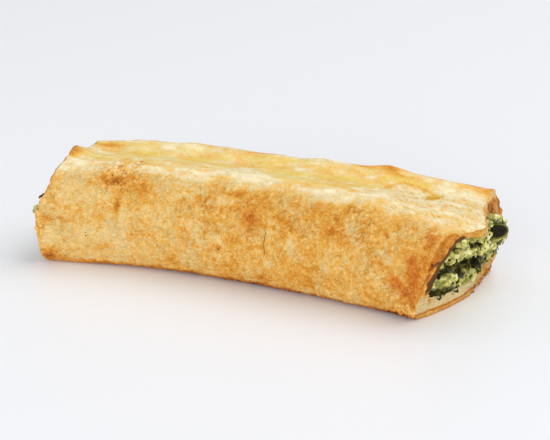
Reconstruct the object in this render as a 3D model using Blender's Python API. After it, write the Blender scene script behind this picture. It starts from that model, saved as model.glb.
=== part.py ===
"""A baked spinach roll: a tube of flaky pastry around a spinach and cheese filling.

The dough is one sheet wrapped round the filling, so it is one body, open at both cut
ends and doubled under the filling where the sheet overlaps.  The filling is a second
body that runs the whole length and swells a little out of the right end.

Frame: +X along the roll, towards the end that shows the most filling, -Y towards the
tall golden side, +Z up.  The origin is under the middle of the whole, on the surface
that the roll rests on.  Sizes are in millimetres until the mesh is made.
"""

import math

import bmesh
import bpy
import numpy as np

MM = 0.001

# Cross-section of the roll at three places along it, in millimetres.
#   centre      sideways place of the middle, as the roll bends a little
#   near, far   from the centre to the widest point of either side
#   near_flank, far_flank   height of those widest points
#   height      height of the top, before the crest and the valley
#   corner      how square the shoulders are: 2 is an ellipse, higher is squarer
#   crest       how far the folded crest on the far side stands up
#   crest_side  its distance beyond the centre
#   valley      depth of the sunken strip along the top
#   foot        depth of the lower curve over the flank height, before the base cuts it;
#               higher makes the foot fuller
LEFT_END = {
    "centre": -5.4, "near": 26.2, "far": 24.7, "near_flank": 10.2, "far_flank": 12.6,
    "height": 33.4, "corner": 2.7, "crest": 1.6, "crest_side": 12.0, "valley": 0.4,
    "foot": 2.3,
}
MIDDLE = {
    "centre": 1.0, "near": 23.7, "far": 24.0, "near_flank": 11.2, "far_flank": 13.6,
    "height": 35.3, "corner": 2.6, "crest": 2.2, "crest_side": 13.5, "valley": 2.6,
    "foot": 1.65,
}
RIGHT_END = {
    "centre": 2.0, "near": 28.2, "far": 28.2, "near_flank": 10.2, "far_flank": 11.6,
    "height": 30.0, "corner": 3.1, "crest": 4.0, "crest_side": 18.5, "valley": 0.0,
    "foot": 1.45,
}
END_HOLD = 2.2              # higher keeps the middle section for more of the length
VALLEY_SIDE = 1.5           # the valley runs this far beyond the centre
VALLEY_REACH = 6.5
CREST_REACH = 5.0
TOP_FROM = 0.45             # crest and valley fade in between these sines of the turn
TOP_FULL = 0.90

# The cut ends.
RIGHT_CUT = 71.0            # at the base
RIGHT_LEAN = 2.1            # the cut leans out by this much at the top
RIGHT_FAR_BELLY = 1.6       # the far wall swells out halfway up
RIGHT_FAR_START = 10.0
RIGHT_FAR_END = 25.0
RIGHT_NOTCH = 9.6           # the near foot is drawn back by this much
RIGHT_NOTCH_HEIGHT = 29.0
RIGHT_NOTCH_SIDE = 4.9
RIGHT_NOTCH_REACH = 29.0
RIGHT_NOTCH_POWER = 1.6
RIGHT_LIP = 5.2             # the roof hangs over the filling by this much
RIGHT_LIP_SIDE = -5.5
RIGHT_LIP_REACH = 7.5
RIGHT_LIP_DROOP = 3.0
RIGHT_LIP_START = 0.93      # share of the half length where the roof begins to droop
LEFT_CUT = -70.9
LEFT_BELLY = 3.9            # the left cut swells outwards between the base and the shoulder
LEFT_BELLY_HEIGHT = 26.5
LEFT_BELLY_FOOT = 0.5       # and starts this far below the base
LEFT_FAR_ROUND = 4.2        # its far side is rounded back
LEFT_FAR_START = 6.0
LEFT_FAR_END = 19.5

# The dough.
WALL = 2.9                  # sides
ROOF = 2.3                  # top, where the sheet is stretched
FLOOR = 5.8                 # the sheet lies double under the filling
FIT_GAP = 0.4               # between dough and filling

# Lumps of the baked surface: place along, place across, height, reach along, reach across.
LUMPS = {
    "left_curl": (-72.5, -8.5, 4.2, 3.6, 4.0),
    "far_swell": (-46.0, 13.0, 1.3, 17.0, 8.0),
    "far_knob": (38.0, 16.5, 2.8, 5.5, 3.8),
    "far_blister": (26.0, 16.5, 0.9, 5.0, 3.0),
    "fold_dimple": (55.5, 4.5, -1.6, 4.5, 3.0),
    "fold_crease": (40.0, 6.0, -0.7, 13.0, 2.2),
}
LUMP_FLOOR = 20.0           # lumps belong to the top and fade out below this height
LUMP_FADE = 8.0
WAVE_HEIGHT = 0.30          # slow unevenness of the whole skin
WAVE_ALONG = 23.0
WAVE_AROUND = 3
WAVE_SWAY = 1.7             # the waves' crests sway along the roll as they go round it
WAVE_TWIST = 0.4

# The filling's ends.  The core's side stops a little inside the cuts and domes out from there.
CORE_REACH = 0.96
CAP_SHOULDER = 0.6          # lower makes the dome's edge squarer
RIGHT_SWELL_NEAR = -3.0     # sunk behind the near wall
RIGHT_SWELL_FAR = 4.6       # and pushed out on the far side
LEFT_SWELL = 0.4
CURD_HEIGHT = 0.9
CURD_WIDTH = 7.0            # spacing of the lumps of cheese, across and upwards
CURD_RISE = 5.6
CURD_SWAY = 1.1             # their rows wander by this turn

# Mesh counts.
AROUND = 44
SKIN_STATIONS = 57
CORE_STATIONS = 15
CAP_RINGS = 7
FINE_OUTLINE = 720          # points of an outline before it is spaced out evenly

SKIN_SMOOTH_ANGLE = math.radians(50.0)
CORE_SMOOTH_ANGLE = math.radians(35.0)

CRUST_COLOUR = (0.80, 0.50, 0.17)
CRUST_ROUGHNESS = 0.55
FILLING_COLOUR = (0.38, 0.45, 0.20)
FILLING_ROUGHNESS = 0.5


def clear_scene():
    for item in list(bpy.data.objects):
        bpy.data.objects.remove(item, do_unlink=True)


def fade(start, end, value):
    """0 before start, 1 after end, with a soft step between."""
    share = np.clip((value - start) / (end - start), 0.0, 1.0)
    return share * share * (3.0 - 2.0 * share)


def section_sizes(along):
    """The section's sizes at a place from -1, the left end, to +1, the right end."""
    end = RIGHT_END if along > 0.0 else LEFT_END
    share = abs(along) ** END_HOLD
    return {name: MIDDLE[name] + (end[name] - MIDDLE[name]) * share for name in MIDDLE}


def evenly_spaced(outline, count):
    """The closed outline again, with count points at equal distances along it."""
    closed = np.vstack([outline, outline[:1]])
    steps = np.linalg.norm(np.diff(closed, axis=0), axis=1)
    distance = np.concatenate([[0.0], np.cumsum(steps)])
    wanted = np.linspace(0.0, distance[-1], count, endpoint=False)
    sideways = np.interp(wanted, distance, closed[:, 0])
    upwards = np.interp(wanted, distance, closed[:, 1])
    return np.stack([sideways, upwards], axis=1)


def stations(count, reach=1.0):
    """Places along the roll, close together at both ends."""
    return reach * np.sin(np.linspace(-0.5 * math.pi, 0.5 * math.pi, count))


def skin_outline(along):
    """Outer outline of the section: sideways and height, starting under the middle.

    Each quarter is part of a superellipse.  The lower two run below the base and are cut
    off there, which leaves the flat strip that the roll rests on.
    """
    size = section_sizes(along)
    angle = np.linspace(-0.5 * math.pi, 1.5 * math.pi, FINE_OUTLINE, endpoint=False)
    across = np.cos(angle)
    upward = np.sin(angle)
    is_near = across < 0.0
    half_width = np.where(is_near, size["near"], size["far"])
    flank = np.where(is_near, size["near_flank"], size["far_flank"])
    rise = np.where(upward > 0.0, size["height"] - flank, flank * size["foot"])
    power = 2.0 / size["corner"]
    y = size["centre"] + half_width * np.sign(across) * np.abs(across) ** power
    z = flank + rise * np.sign(upward) * np.abs(upward) ** power
    top = fade(TOP_FROM, TOP_FULL, upward)
    crest_at = size["centre"] + size["crest_side"]
    valley_at = size["centre"] + VALLEY_SIDE
    z += top * size["crest"] * np.exp(-((y - crest_at) / CREST_REACH) ** 2)
    z -= top * size["valley"] * np.exp(-((y - valley_at) / VALLEY_REACH) ** 2)
    z = np.maximum(z, 0.0)
    return evenly_spaced(np.stack([y, z], axis=1), AROUND)


def inset_outline(outline, sides, roof, floor):
    """The outline moved inwards by the wall, and cut off flat above the floor."""
    ahead = np.roll(outline, -1, axis=0)
    behind = np.roll(outline, 1, axis=0)
    run = ahead - behind
    run /= np.linalg.norm(run, axis=1)[:, None]
    inward = np.stack([-run[:, 1], run[:, 0]], axis=1)
    thickness = sides + (roof - sides) * np.clip(-inward[:, 1], 0.0, 1.0) ** 2
    moved = outline + inward * thickness[:, None]
    moved[:, 1] = np.maximum(moved[:, 1], floor)
    return moved


def left_cut(y, z):
    up = np.clip((z + LEFT_BELLY_FOOT) / LEFT_BELLY_HEIGHT, 0.0, 1.0)
    rounding = LEFT_FAR_ROUND * fade(LEFT_FAR_START, LEFT_FAR_END, y)
    return LEFT_CUT - LEFT_BELLY * np.sin(math.pi * up) + rounding


def right_cut(y, z):
    low = np.clip(1.0 - z / RIGHT_NOTCH_HEIGHT, 0.0, 1.0)
    near = np.clip((RIGHT_NOTCH_SIDE - y) / RIGHT_NOTCH_REACH, 0.0, 1.1) ** RIGHT_NOTCH_POWER
    belly = np.sin(math.pi * np.clip(z / RIGHT_NOTCH_HEIGHT, 0.0, 1.0))
    swell = RIGHT_FAR_BELLY * belly * fade(RIGHT_FAR_START, RIGHT_FAR_END, y)
    lean = RIGHT_LEAN * z / RIGHT_NOTCH_HEIGHT
    return RIGHT_CUT + lean + swell - RIGHT_NOTCH * low * near


def lip_share(y, z):
    """1 in the middle of the overhanging roof, 0 away from it."""
    across = np.exp(-((y - RIGHT_LIP_SIDE) / RIGHT_LIP_REACH) ** 2)
    return across * fade(LUMP_FLOOR, LUMP_FLOOR + LUMP_FADE, z)


def lumps(points):
    """Height of the baked lumps above the plain skin."""
    x, y, z = points.T
    total = np.zeros(len(points))
    for at_x, at_y, height, reach_x, reach_y in LUMPS.values():
        total += height * np.exp(-((x - at_x) / reach_x) ** 2 - ((y - at_y) / reach_y) ** 2)
    return total * fade(LUMP_FLOOR, LUMP_FLOOR + LUMP_FADE, z)


def waves(points, turn):
    """Slow unevenness, none at the base."""
    x, _, z = points.T
    along = 2.0 * math.pi * x / WAVE_ALONG
    ripple = np.sin(along + WAVE_SWAY * np.sin(turn))
    ripple *= np.cos(WAVE_AROUND * turn + WAVE_TWIST * along)
    return WAVE_HEIGHT * ripple * fade(0.0, LUMP_FADE, z)


def ring_points(outline, along, lip=0.0):
    """A ring in space: the outline, set between the two cut ends at the place along."""
    y, z = outline.T
    start = left_cut(y, z)
    end = right_cut(y, z) + lip * lip_share(y, z)
    x = start + (end - start) * (along + 1.0) / 2.0
    return np.stack([x, y, z], axis=1)


def dough_ring(outline, along):
    """A ring of the dough, which hangs down over the filling at the right end."""
    points = ring_points(outline, along, RIGHT_LIP)
    _, y, z = points.T
    points[:, 2] -= RIGHT_LIP_DROOP * lip_share(y, z) * fade(RIGHT_LIP_START, 1.0, along)
    return points


def skin_ring(along):
    outline = skin_outline(along)
    points = dough_ring(outline, along)
    turn = np.linspace(0.0, 2.0 * math.pi, AROUND, endpoint=False)
    points[:, 2] += lumps(points)
    middle = np.array([0.0, outline[:, 0].mean(), outline[:, 1].mean()])
    away = points - middle
    away[:, 0] = 0.0
    away /= np.linalg.norm(away, axis=1)[:, None]
    points += away * waves(points, turn)[:, None]
    return points


def bore_ring(along):
    """The dough's inner wall."""
    return dough_ring(inset_outline(skin_outline(along), WALL, ROOF, FLOOR), along)


def core_ring(along):
    """The filling's side, clear of the dough all the way."""
    sides = WALL + FIT_GAP
    roof = ROOF + FIT_GAP
    floor = FLOOR + FIT_GAP
    return ring_points(inset_outline(skin_outline(along), sides, roof, floor), along)


def curds(y, z):
    """Lumps of cheese over the filling's end faces."""
    across = 2.0 * math.pi * y / CURD_WIDTH
    upward = 2.0 * math.pi * z / CURD_RISE
    rows = np.sin(across + CURD_SWAY * np.sin(upward / 2.0))
    columns = np.sin(upward + CURD_SWAY * np.sin(across / 2.0))
    return CURD_HEIGHT * 0.5 * (rows + columns)


def left_face(y, z):
    return left_cut(y, z) - LEFT_SWELL - curds(y, z)


def right_face(y, z):
    """The right end face: sunk behind the near wall and pushed out on the far side."""
    share = fade(-RIGHT_END["near"], RIGHT_END["far"], y)
    swell = RIGHT_SWELL_NEAR + (RIGHT_SWELL_FAR - RIGHT_SWELL_NEAR) * share
    return right_cut(y, z) + swell + curds(y, z)


def cap_rings(rim, face):
    """Rings that close one end of the filling, domed from the rim out to the end face."""
    middle = rim.mean(axis=0)
    rings = []
    for step in range(1, CAP_RINGS):
        turn = 0.5 * math.pi * step / CAP_RINGS
        ring = middle + (rim - middle) * math.cos(turn)
        share = math.sin(turn) ** CAP_SHOULDER
        ring[:, 0] = rim[:, 0] + (face(ring[:, 1], ring[:, 2]) - rim[:, 0]) * share
        rings.append(ring)
    return rings


def add_ring(mesh, points):
    return [mesh.verts.new(point * MM) for point in points]


def join_rings(mesh, first, second):
    count = len(first)
    for index in range(count):
        after = (index + 1) % count
        mesh.faces.new((first[index], first[after], second[after], second[index]))


def close_cap(mesh, ring, points):
    """A fan from the last ring of a cap to one point in its middle."""
    tip = mesh.verts.new(points.mean(axis=0) * MM)
    for index, vertex in enumerate(ring):
        mesh.faces.new((vertex, ring[(index + 1) % len(ring)], tip))


def finish_object(name, mesh, material, smooth_angle):
    bmesh.ops.recalc_face_normals(mesh, faces=mesh.faces)
    data = bpy.data.meshes.new(name)
    mesh.to_mesh(data)
    mesh.free()
    data.materials.append(material)
    data.shade_smooth()
    data.set_sharp_from_angle(angle=smooth_angle)
    item = bpy.data.objects.new(name, data)
    bpy.context.collection.objects.link(item)
    return item


def make_material(name, colour, roughness):
    material = bpy.data.materials.new(name)
    material.use_nodes = True
    shader = material.node_tree.nodes["Principled BSDF"]
    shader.inputs["Base Color"].default_value = (*colour, 1.0)
    shader.inputs["Roughness"].default_value = roughness
    shader.inputs["Metallic"].default_value = 0.0
    return material


def make_pastry():
    """The wrapped dough: outer skin, inner wall and the two cut faces between them."""
    mesh = bmesh.new()
    outer = [add_ring(mesh, skin_ring(along)) for along in np.linspace(-1.0, 1.0, SKIN_STATIONS)]
    inner = [add_ring(mesh, bore_ring(along)) for along in stations(CORE_STATIONS)]
    for rings in (outer, inner):
        for first, second in zip(rings, rings[1:]):
            join_rings(mesh, first, second)
    join_rings(mesh, outer[0], inner[0])
    join_rings(mesh, outer[-1], inner[-1])
    crust = make_material("baked_pastry", CRUST_COLOUR, CRUST_ROUGHNESS)
    return finish_object("pastry", mesh, crust, SKIN_SMOOTH_ANGLE)


def make_filling():
    """The filling: a core through the whole roll with lumpy ends."""
    mesh = bmesh.new()
    shapes = [core_ring(along) for along in stations(CORE_STATIONS, CORE_REACH)]
    left = cap_rings(shapes[0], left_face)
    right = cap_rings(shapes[-1], right_face)
    shapes = left[::-1] + shapes + right
    rings = [add_ring(mesh, points) for points in shapes]
    for first, second in zip(rings, rings[1:]):
        join_rings(mesh, first, second)
    close_cap(mesh, rings[0], shapes[0])
    close_cap(mesh, rings[-1], shapes[-1])
    stuffing = make_material("spinach_filling", FILLING_COLOUR, FILLING_ROUGHNESS)
    return finish_object("filling", mesh, stuffing, CORE_SMOOTH_ANGLE)


def centre_on_base(items):
    """Move all meshes together so that the origin is under the middle of the whole."""
    corners = np.array([vertex.co[:] for item in items for vertex in item.data.vertices])
    low = corners.min(axis=0)
    high = corners.max(axis=0)
    shift = np.array([(low[0] + high[0]) / 2.0, (low[1] + high[1]) / 2.0, low[2]])
    for item in items:
        for vertex in item.data.vertices:
            vertex.co = np.array(vertex.co) - shift


clear_scene()
centre_on_base([make_pastry(), make_filling()])
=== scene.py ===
"""The looks of a baked spinach roll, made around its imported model.

The crust, the filling's core, the curds of cheese, the spinach leaves and the loose
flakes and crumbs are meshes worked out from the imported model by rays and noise.  Sizes
are in millimetres until a mesh is made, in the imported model's frame: +X along the roll
towards the end that shows the most filling, -Y towards the tall golden side, +Z up.
"""

import itertools
import math

import bmesh
import bpy
import numpy as np
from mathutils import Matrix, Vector
from mathutils.bvhtree import BVHTree


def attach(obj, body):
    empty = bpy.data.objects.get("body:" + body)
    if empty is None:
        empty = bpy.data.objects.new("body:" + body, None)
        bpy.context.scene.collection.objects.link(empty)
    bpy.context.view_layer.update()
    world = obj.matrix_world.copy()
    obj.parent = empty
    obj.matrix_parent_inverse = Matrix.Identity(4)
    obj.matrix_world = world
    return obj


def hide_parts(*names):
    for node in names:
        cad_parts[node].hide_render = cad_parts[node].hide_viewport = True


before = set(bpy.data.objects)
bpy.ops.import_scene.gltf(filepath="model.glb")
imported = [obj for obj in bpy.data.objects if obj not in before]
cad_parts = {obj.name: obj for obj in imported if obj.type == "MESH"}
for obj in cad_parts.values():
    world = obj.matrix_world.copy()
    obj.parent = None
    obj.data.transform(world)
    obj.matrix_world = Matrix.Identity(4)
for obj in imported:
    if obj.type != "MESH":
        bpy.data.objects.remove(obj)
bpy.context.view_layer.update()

MM = 0.001

# ---------------------------------------------------------------- the camera and the light

PHOTO_WIDTH = 550
FOCAL_PIXELS = 1300.0
SENSOR = 36.0
CAMERA_TURN = math.radians(25.0)        # round from the near side towards +X
CAMERA_RISE = math.radians(20.0)
CAMERA_DISTANCE = 441.4
CAMERA_AIM = (1.397, 0.671, 16.5)
LENS_REACH = (0.01, 20.0)               # nearest and farthest that it sees, in metres
FLOOR_HALF = 3000.0
FLOOR_DROP = 0.02                       # below the base, so that the two don't coincide
FLOOR_COLOUR = (0.872, 0.877, 0.902, 1.0)
# Lamps: name, place, what they point at, width, depth, and power in watts.
LAMPS = (
    ("overhead", (1150.0, 1270.0, 2510.0), (0.0, 0.0, 10.0), 2880.0, 2240.0, 53.5),
    ("front_fill", (480.0, -2880.0, 832.0), (0.0, 0.0, 15.0), 2880.0, 1600.0, 57.5),
)
ROOM_COLOUR = (0.97, 0.985, 1.0, 1.0)
ROOM_LIGHT = 0.56

# ---------------------------------------------------------------- the crust's mesh

STATIONS = 300              # rings along the outside
INNER_STATIONS = 34         # and along the inside
TURNS = 240                 # points around a ring
FINE_TURNS = 720            # rays around the section that those points are spaced by
CUT_RINGS = 24              # rings across the thickness at each cut end
CUT_CROWDING = 1.6          # above 1 they stand closer together outside
CENTRE_HEIGHT = 14.0        # height of the line that the rays start from
FAR_OUT = 90.0              # rays from outside start this far away
BASE_STRIP = 0.3            # what is lower is the flat strip underneath
BASE_WEIGHT = 0.35          # and gets this share of the points
CUT_SEARCH = (52.0, 80.0)   # the cuts lie between these
CUT_ROUNDS = 10             # halvings of that stretch
CUT_FACING = 0.75           # faces that look along the roll by more than this are the cut's
CUT_MARGIN = 0.3            # rays for the walls keep this far from the cuts
CUT_BLUR = 1.5              # steps of the grid, as are the next two
FACET_BLUR = 3.0
FOOT_BLUR = 1.0
FOOT_ZONE = (0.5, 4.5)      # heights between which FOOT_BLUR gives way to FACET_BLUR
EDGE_ROUND = 0.75           # rounding of the cut edges
EDGE_SHARP = 0.2            # share of that rounding at the foot
RAG_SMALL = 0.38            # how far the cuts' edges wander, in small and in large steps
RAG_LARGE = 0.55
LAYER_DEPTH = 0.24          # how far the dough's thin layers stand out of a cut
LAYER_PITCH = 0.62
SPLIT_HEIGHT = 1.7          # the foot's outer layer is this thick and parts from the next
SPLIT_HALF = 0.36

# The open end's near wall: height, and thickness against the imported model's.
WALL_SHARE = ((6, 0.7), (11, 0.45), (16, 0.32), (21, 0.34), (25, 0.55))
FAR_SHARE = 1.9             # the same for the far wall's top
# The floor's near corner there: place across and height of the floor, and the line of a fold.
CORNER_FLOOR = ((-26, 10.2), (-21, 9.2), (-18, 7.0), (-15, 5.7), (-10, 5.4))
CORNER_FOLD = ((-20.3, 8.8), (-19.6, 6.6), (-18.6, 4.2))
FOLD_HALF = 0.4
# Where the cut edges stand back: turn and reach in degrees, and depth.  The turn is 0 at the
# far side, 90 at the top and 180 at the near side.
OPEN_CUT_BAYS = ((66.0, 16.0, 0.5), (20.0, 22.0, 0.8), (168.0, 26.0, 1.2))
SHUT_CUT_BAYS = ((186.0, 20.0, 1.3),)
# Where the open end's torn roof hangs lower: place across, reach, and by how much.
ROOF_SAGS = ((18.5, 5.5, 4.2), (10.0, 4.0, 2.2))

# ---------------------------------------------------------------- places on the crust
# Lines over the top, as place along and place across.

WALL_TOP = (
    (-74, -20.4), (-57, -16), (-42, -13.9), (-27, -13.6), (-10, -11.4), (2.8, -11.4), (11, -11.4),
    (25, -11.4), (36, -11.0), (50, -12.4), (64, -14.4), (74, -15.5),
)
RIDGE_FOLD = (
    (-74, -14.4), (-56, -11.6), (-45, -10.1), (-29, -9.5), (-20, -6.1), (-10, -0.9), (-2.5, -2.3),
    (7.2, -9.3), (17, -9.2), (25, -7.8), (34, -5), (44, -1),
)
CREST = (
    (-74, 6), (-64, 8.5), (-40, 12), (-20, 11.8), (-2, 14.2), (11, 14.6), (26, 14.6), (40, 15.4),
    (50, 16.6), (63, 18.2), (74, 20),
)
CREASE = (
    (31.7, 2), (35.2, 3), (37.6, 5.9), (40.2, 8.2), (43, 10.1), (47.5, 10), (50.8, 9.6),
    (53, 9), (54.6, 8.1),
)
PANEL_START = 33.0          # right of this the top is one flat pale sheet up to the crease
CRACK_ALONG = 8.0           # a hair crack in the near side
CRACK_SWAY = 2.2
CRACK_HALF = 0.24
CRACK_LOW = 11.8
CRACK_HIGH = 24.5

# Browned and pale patches of the near side: place along, height, reach along, reach
# upwards, browning, redness.
WALL_PATCHES = (
    (-69, 2.5, 5.0, 2.4, 0.52, 0.1), (-70.5, 16, 3.0, 1.5, 0.20, 0.1), (-65, 16.3, 3.0, 1.1, 0.14, 0.1),
    (-68.5, 19.3, 2.4, 0.9, 0.14, 0.2), (-71, 26, 1.6, 4.5, 0.14, 0.0),
    (-48.5, 29.8, 6.5, 3.0, 0.28, 0.0), (-46, 31, 3.2, 1.5, 0.12, 0.0),
    (-38.2, 28.2, 2.0, 2.8, 0.20, 0.0), (-43, 26.9, 2.2, 1.4, 0.12, 0.0),
    (-46, 22, 1.6, 3.6, 0.34, 0.0), (-41.6, 23.9, 1.5, 1.1, 0.10, 0.0),
    (-38.6, 13.7, 3.0, 2.0, 0.10, 0.1), (-25.6, 6.6, 2.6, 2.0, 0.16, 0.0),
    (-50.5, 7.6, 3.0, 2.0, 0.10, 0.1), (-23.6, 25.5, 1.8, 1.2, 0.10, 0.1),
    (-15, 26.5, 3.0, 2.0, 0.08, 0.1), (-4.7, 30.1, 2.6, 1.8, 0.20, 0.0),
    (-11, 25.2, 3.2, 1.3, 0.13, 0.0), (-6.2, 25.4, 2.2, 1.5, 0.12, 0.0),
    (0.7, 24.8, 2.6, 1.8, 0.14, 0.5), (3.2, 23.4, 2.0, 1.6, 0.16, 0.6),
    (2.2, 20.4, 2.4, 2.2, 0.12, 0.6), (7, 28.6, 3.0, 1.5, 0.14, 0.0), (3.3, 29.4, 3.0, 1.4, 0.07, 0.0),
    (13.3, 26.2, 2.4, 1.7, 0.26, 0.0), (16.8, 22.8, 2.4, 2.2, 0.18, 0.0),
    (-3, 16.3, 2.0, 1.8, 0.12, 0.2), (-2.5, 9.1, 2.6, 2.0, 0.12, 0.0), (7.3, 4.7, 3.0, 1.5, 0.14, 0.4),
    (24.8, 5.3, 2.2, 1.8, 0.16, 0.0), (23.6, 29.2, 2.4, 1.3, 0.12, 0.3),
    (35.4, 30.6, 2.6, 1.2, 0.30, 0.0), (32.8, 28, 2.6, 1.8, 0.16, 0.0),
    (31.3, 23.7, 2.2, 1.8, 0.18, 0.3), (34.5, 25, 1.8, 1.2, 0.14, 0.2), (27.3, 12, 1.4, 1.1, 0.16, 0.0),
    (35.8, 22, 2.4, 2.0, 0.12, 0.2), (41.4, 25, 2.5, 2.5, 0.10, 0.2), (45.3, 16.6, 2.4, 2.4, 0.14, 0.2),
    (63.4, 26.5, 2.2, 2.2, 0.16, 0.7), (59.9, 15.5, 2.0, 4.6, 0.26, 0.9),
    (58.6, 19.8, 2.0, 2.6, 0.14, 0.7), (57.6, 9.6, 2.6, 2.4, 0.20, 0.9),
    (54.2, 12.3, 2.6, 2.6, 0.16, 0.8), (56.3, 1.6, 4.5, 1.4, 0.24, 0.6), (61, 5.5, 2.6, 3.0, 0.16, 0.6),
    (64, 20, 2.8, 5.0, 0.26, 0.3), (62, 12, 2.4, 5.0, 0.14, 0.4), (-68.6, 10.4, 2.4, 2.2, -0.30, 0.0),
    (-70.6, 8.1, 1.6, 1.8, -0.16, 0.0), (-57.1, 13, 2.8, 1.7, -0.24, 0.0),
    (-51, 12, 3.2, 1.5, -0.24, 0.0), (-44, 18, 0.9, 5.0, -0.22, 0.0), (-58.8, 9, 1.6, 2.0, -0.14, 0.0),
    (-30.2, 28.6, 3.4, 1.8, -0.12, 0.0), (-31, 20.8, 3.0, 3.0, -0.10, 0.0),
    (-7.6, 15.3, 3.2, 1.7, -0.24, 0.0), (-18.8, 18.7, 3.4, 2.4, -0.16, 0.0),
    (17.2, 17, 1.3, 5.5, -0.22, 0.0), (8.3, 10, 2.6, 1.2, -0.18, 0.0),
    (30.8, 12.7, 3.0, 1.7, -0.16, 0.0), (37.6, 25.8, 2.0, 1.8, -0.14, 0.0),
    (-18, 29.8, 3.0, 2.0, -0.12, 0.0), (38.4, 6.5, 3.0, 3.0, -0.14, 0.0),
    (47, 11.7, 3.0, 3.0, -0.14, 0.0), (31.3, 17, 2.0, 2.0, -0.10, 0.0), (-35, 8, 3.0, 2.4, -0.08, 0.0),
    (64.6, 18, 1.2, 7.0, -0.12, 0.0),
)
# Patches of the top: place along, place across, the two reaches, browning, translucence.
TOP_PATCHES = (
    (-71.6, -10.5, 3.0, 3.2, 0.85, 0.3), (-66, -7.5, 5.5, 2.2, 0.06, 0.8),
    (-67.5, -4.6, 3.5, 1.6, 0.14, 0.0), (-66.5, 3.4, 6.0, 2.6, 0.46, 0.0),
    (-60, 5, 5.0, 1.5, 0.14, 0.0), (-41, -10.7, 4.5, 0.8, 0.30, 0.2), (-31.6, 3.1, 2.8, 1.4, 0.16, 0.5),
    (-50, -1, 4.5, 2.0, 0.06, 0.4), (38.0, 14.6, 3.6, 1.7, 0.60, 0.0),
    (41.5, 12.4, 3.5, 0.9, 0.36, 0.0), (28, 14.6, 3.5, 0.9, 0.20, 0.0), (66, 17.0, 5.0, 2.4, 0.40, 0.0),
    (71.5, 17.5, 2.4, 4.0, 0.36, 0.0), (55.7, 5.9, 1.9, 1.6, 1.25, 1.4),
    (47, 11.4, 6.0, 1.4, 0.14, 0.6), (-20, 2.4, 6.0, 1.3, 0.10, 0.6), (-6, 8.5, 5.0, 1.6, 0.08, 0.5),
    (8, 2.0, 3.0, 1.6, 0.08, 0.7), (20, 6, 5.0, 1.6, 0.10, 0.2), (25, -12.5, 8.0, 2.4, -0.22, 0.0),
)
# Burnt specks on the near side: place along, height and size.
SPECKS = ((-8.7, 12.3, 0.42), (-56.9, 10.9, 0.32), (-57.2, 11.7, 0.22), (12.4, 3.0, 0.30))

FLAKY_AT = (-47.0, 31.0)    # along and up; the middle of the patch whose layers have lifted
FLAKY_REACH = (8.5, 4.6)
CRUMBLY_AT = (58.0, 3.5)
CRUMBLY_REACH = (5.5, 4.0)
DIMPLE = (55.7, 6.2, 1.3)   # in the top: along, across, reach
CURL = (-73.0, -11.0, 3.6, 3.2, 1.7)    # raised corner: along, across, two reaches, height

# ---------------------------------------------------------------- the filling

CORE_VOXEL = 1.2            # cell of the core's mesh
CORE_DRAW_BACK = 1.4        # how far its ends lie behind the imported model's
END_ZONE = 58.0             # beyond this along the roll a place belongs to an end
CURD_SPACING = 1.6          # between the lumps' middles
CURD_VOXEL = 0.34           # cell of their merged mesh
CURD_SIZES = (0.55, 1.2)    # radii, from and to
GRAIN_COUNT = 1300          # grains that sit on the lumps of cheese
GRAIN_SIZES = (0.32, 0.62)
FLECK_COUNT = 60            # chopped bits of spinach
ROW_PITCH = 0.87            # rows of staggered places stand closer than the places in a row
GAP_EDGE = (                # height, place across of the near side of the open end's filling
    (8, -25.4), (11, -25), (16.1, -24.2), (19.9, -22.1), (21.9, -19.5), (24.2, -15.2), (26.5, -11.0),
)
GAP_DEPTH = 4.0             # how far the filling draws back between that and the wall,
LOW_DRAW_BACK = 2.6         # low down on the far side,
COVERED_DRAW_BACK = 5.0     # and where dough covers it
LEAF_ROOM = (12.6, 20.2, 3.6, 2.6, 2.0)     # behind the large leaf: across, height, reaches, depth
LEAF_SPACING = 1.5          # between leaves in the dark bands
SHRED_SPACING = 2.7         # and between the shreds all over
# Dark bands of spinach over the open end: lines of place across and height, with half
# widths.
DARK_BANDS = (
    (((-20, 14.8), (-14, 14.5), (-8, 14.6), (-3.5, 14.2), (1, 12.8), (4, 12.2), (7.5, 11.6),
      (12, 9.8)), 1.8),
    (((-7.2, 12.6), (-6, 10.4)), 1.3),
    (((-19.6, 8.2), (-17, 7.6), (-13.5, 6.8), (-10, 6.2), (-7, 6.0)), 1.5),
    (((-16.5, 22.9), (-9, 21.4), (-4, 20.3), (-0.4, 19.4)), 0.5),
    (((14, 20), (20, 19)), 1.6),
    (((16, 14.8), (20, 13.4)), 1.2),
    (((10.6, 27), (11.2, 23.4)), 0.7),
)
LEFT_BAND_TURN = 0.35       # the other end's bands run at this slope,
LEFT_BAND_PITCH = 6.4       # this far apart
LEFT_BAND_HALF = 1.3
LEAF_THICK = 0.26


# ================================================================ plain helpers


def fade(start, end, value):
    """0 before start, 1 after end, with a soft step between."""
    share = np.clip((value - start) / (end - start), 0.0, 1.0)
    return share * share * (3.0 - 2.0 * share)


def bell(value, reach):
    """1 at 0, falling softly to almost nothing at twice the reach."""
    return np.exp(-((value / reach) ** 2))


HASH_AXES = (0x9E3779B185EBCA87, 0xC2B2AE3D27D4EB4F, 0x165667B19E3779F9)
HASH_SEED = 0x27D4EB2F165667C5
HASH_MIX = ((31, 0xBF58476D1CE4E5B9), (27, 0x94D049BB133111EB))
WORD = (1 << 64) - 1


def hashed(corner, seed):
    """A repeatable number from 0 to 1 for each whole-number corner of space."""
    word = np.full(corner.shape[:-1], (seed + 1) * HASH_SEED & WORD, dtype=np.uint64)
    for axis, factor in enumerate(HASH_AXES):
        word += corner[..., axis].astype(np.int64).astype(np.uint64) * np.uint64(factor)
    for shift, factor in HASH_MIX:
        word ^= word >> np.uint64(shift)
        word *= np.uint64(factor)
    return (word >> np.uint64(40)).astype(float) / float(1 << 24)


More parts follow.
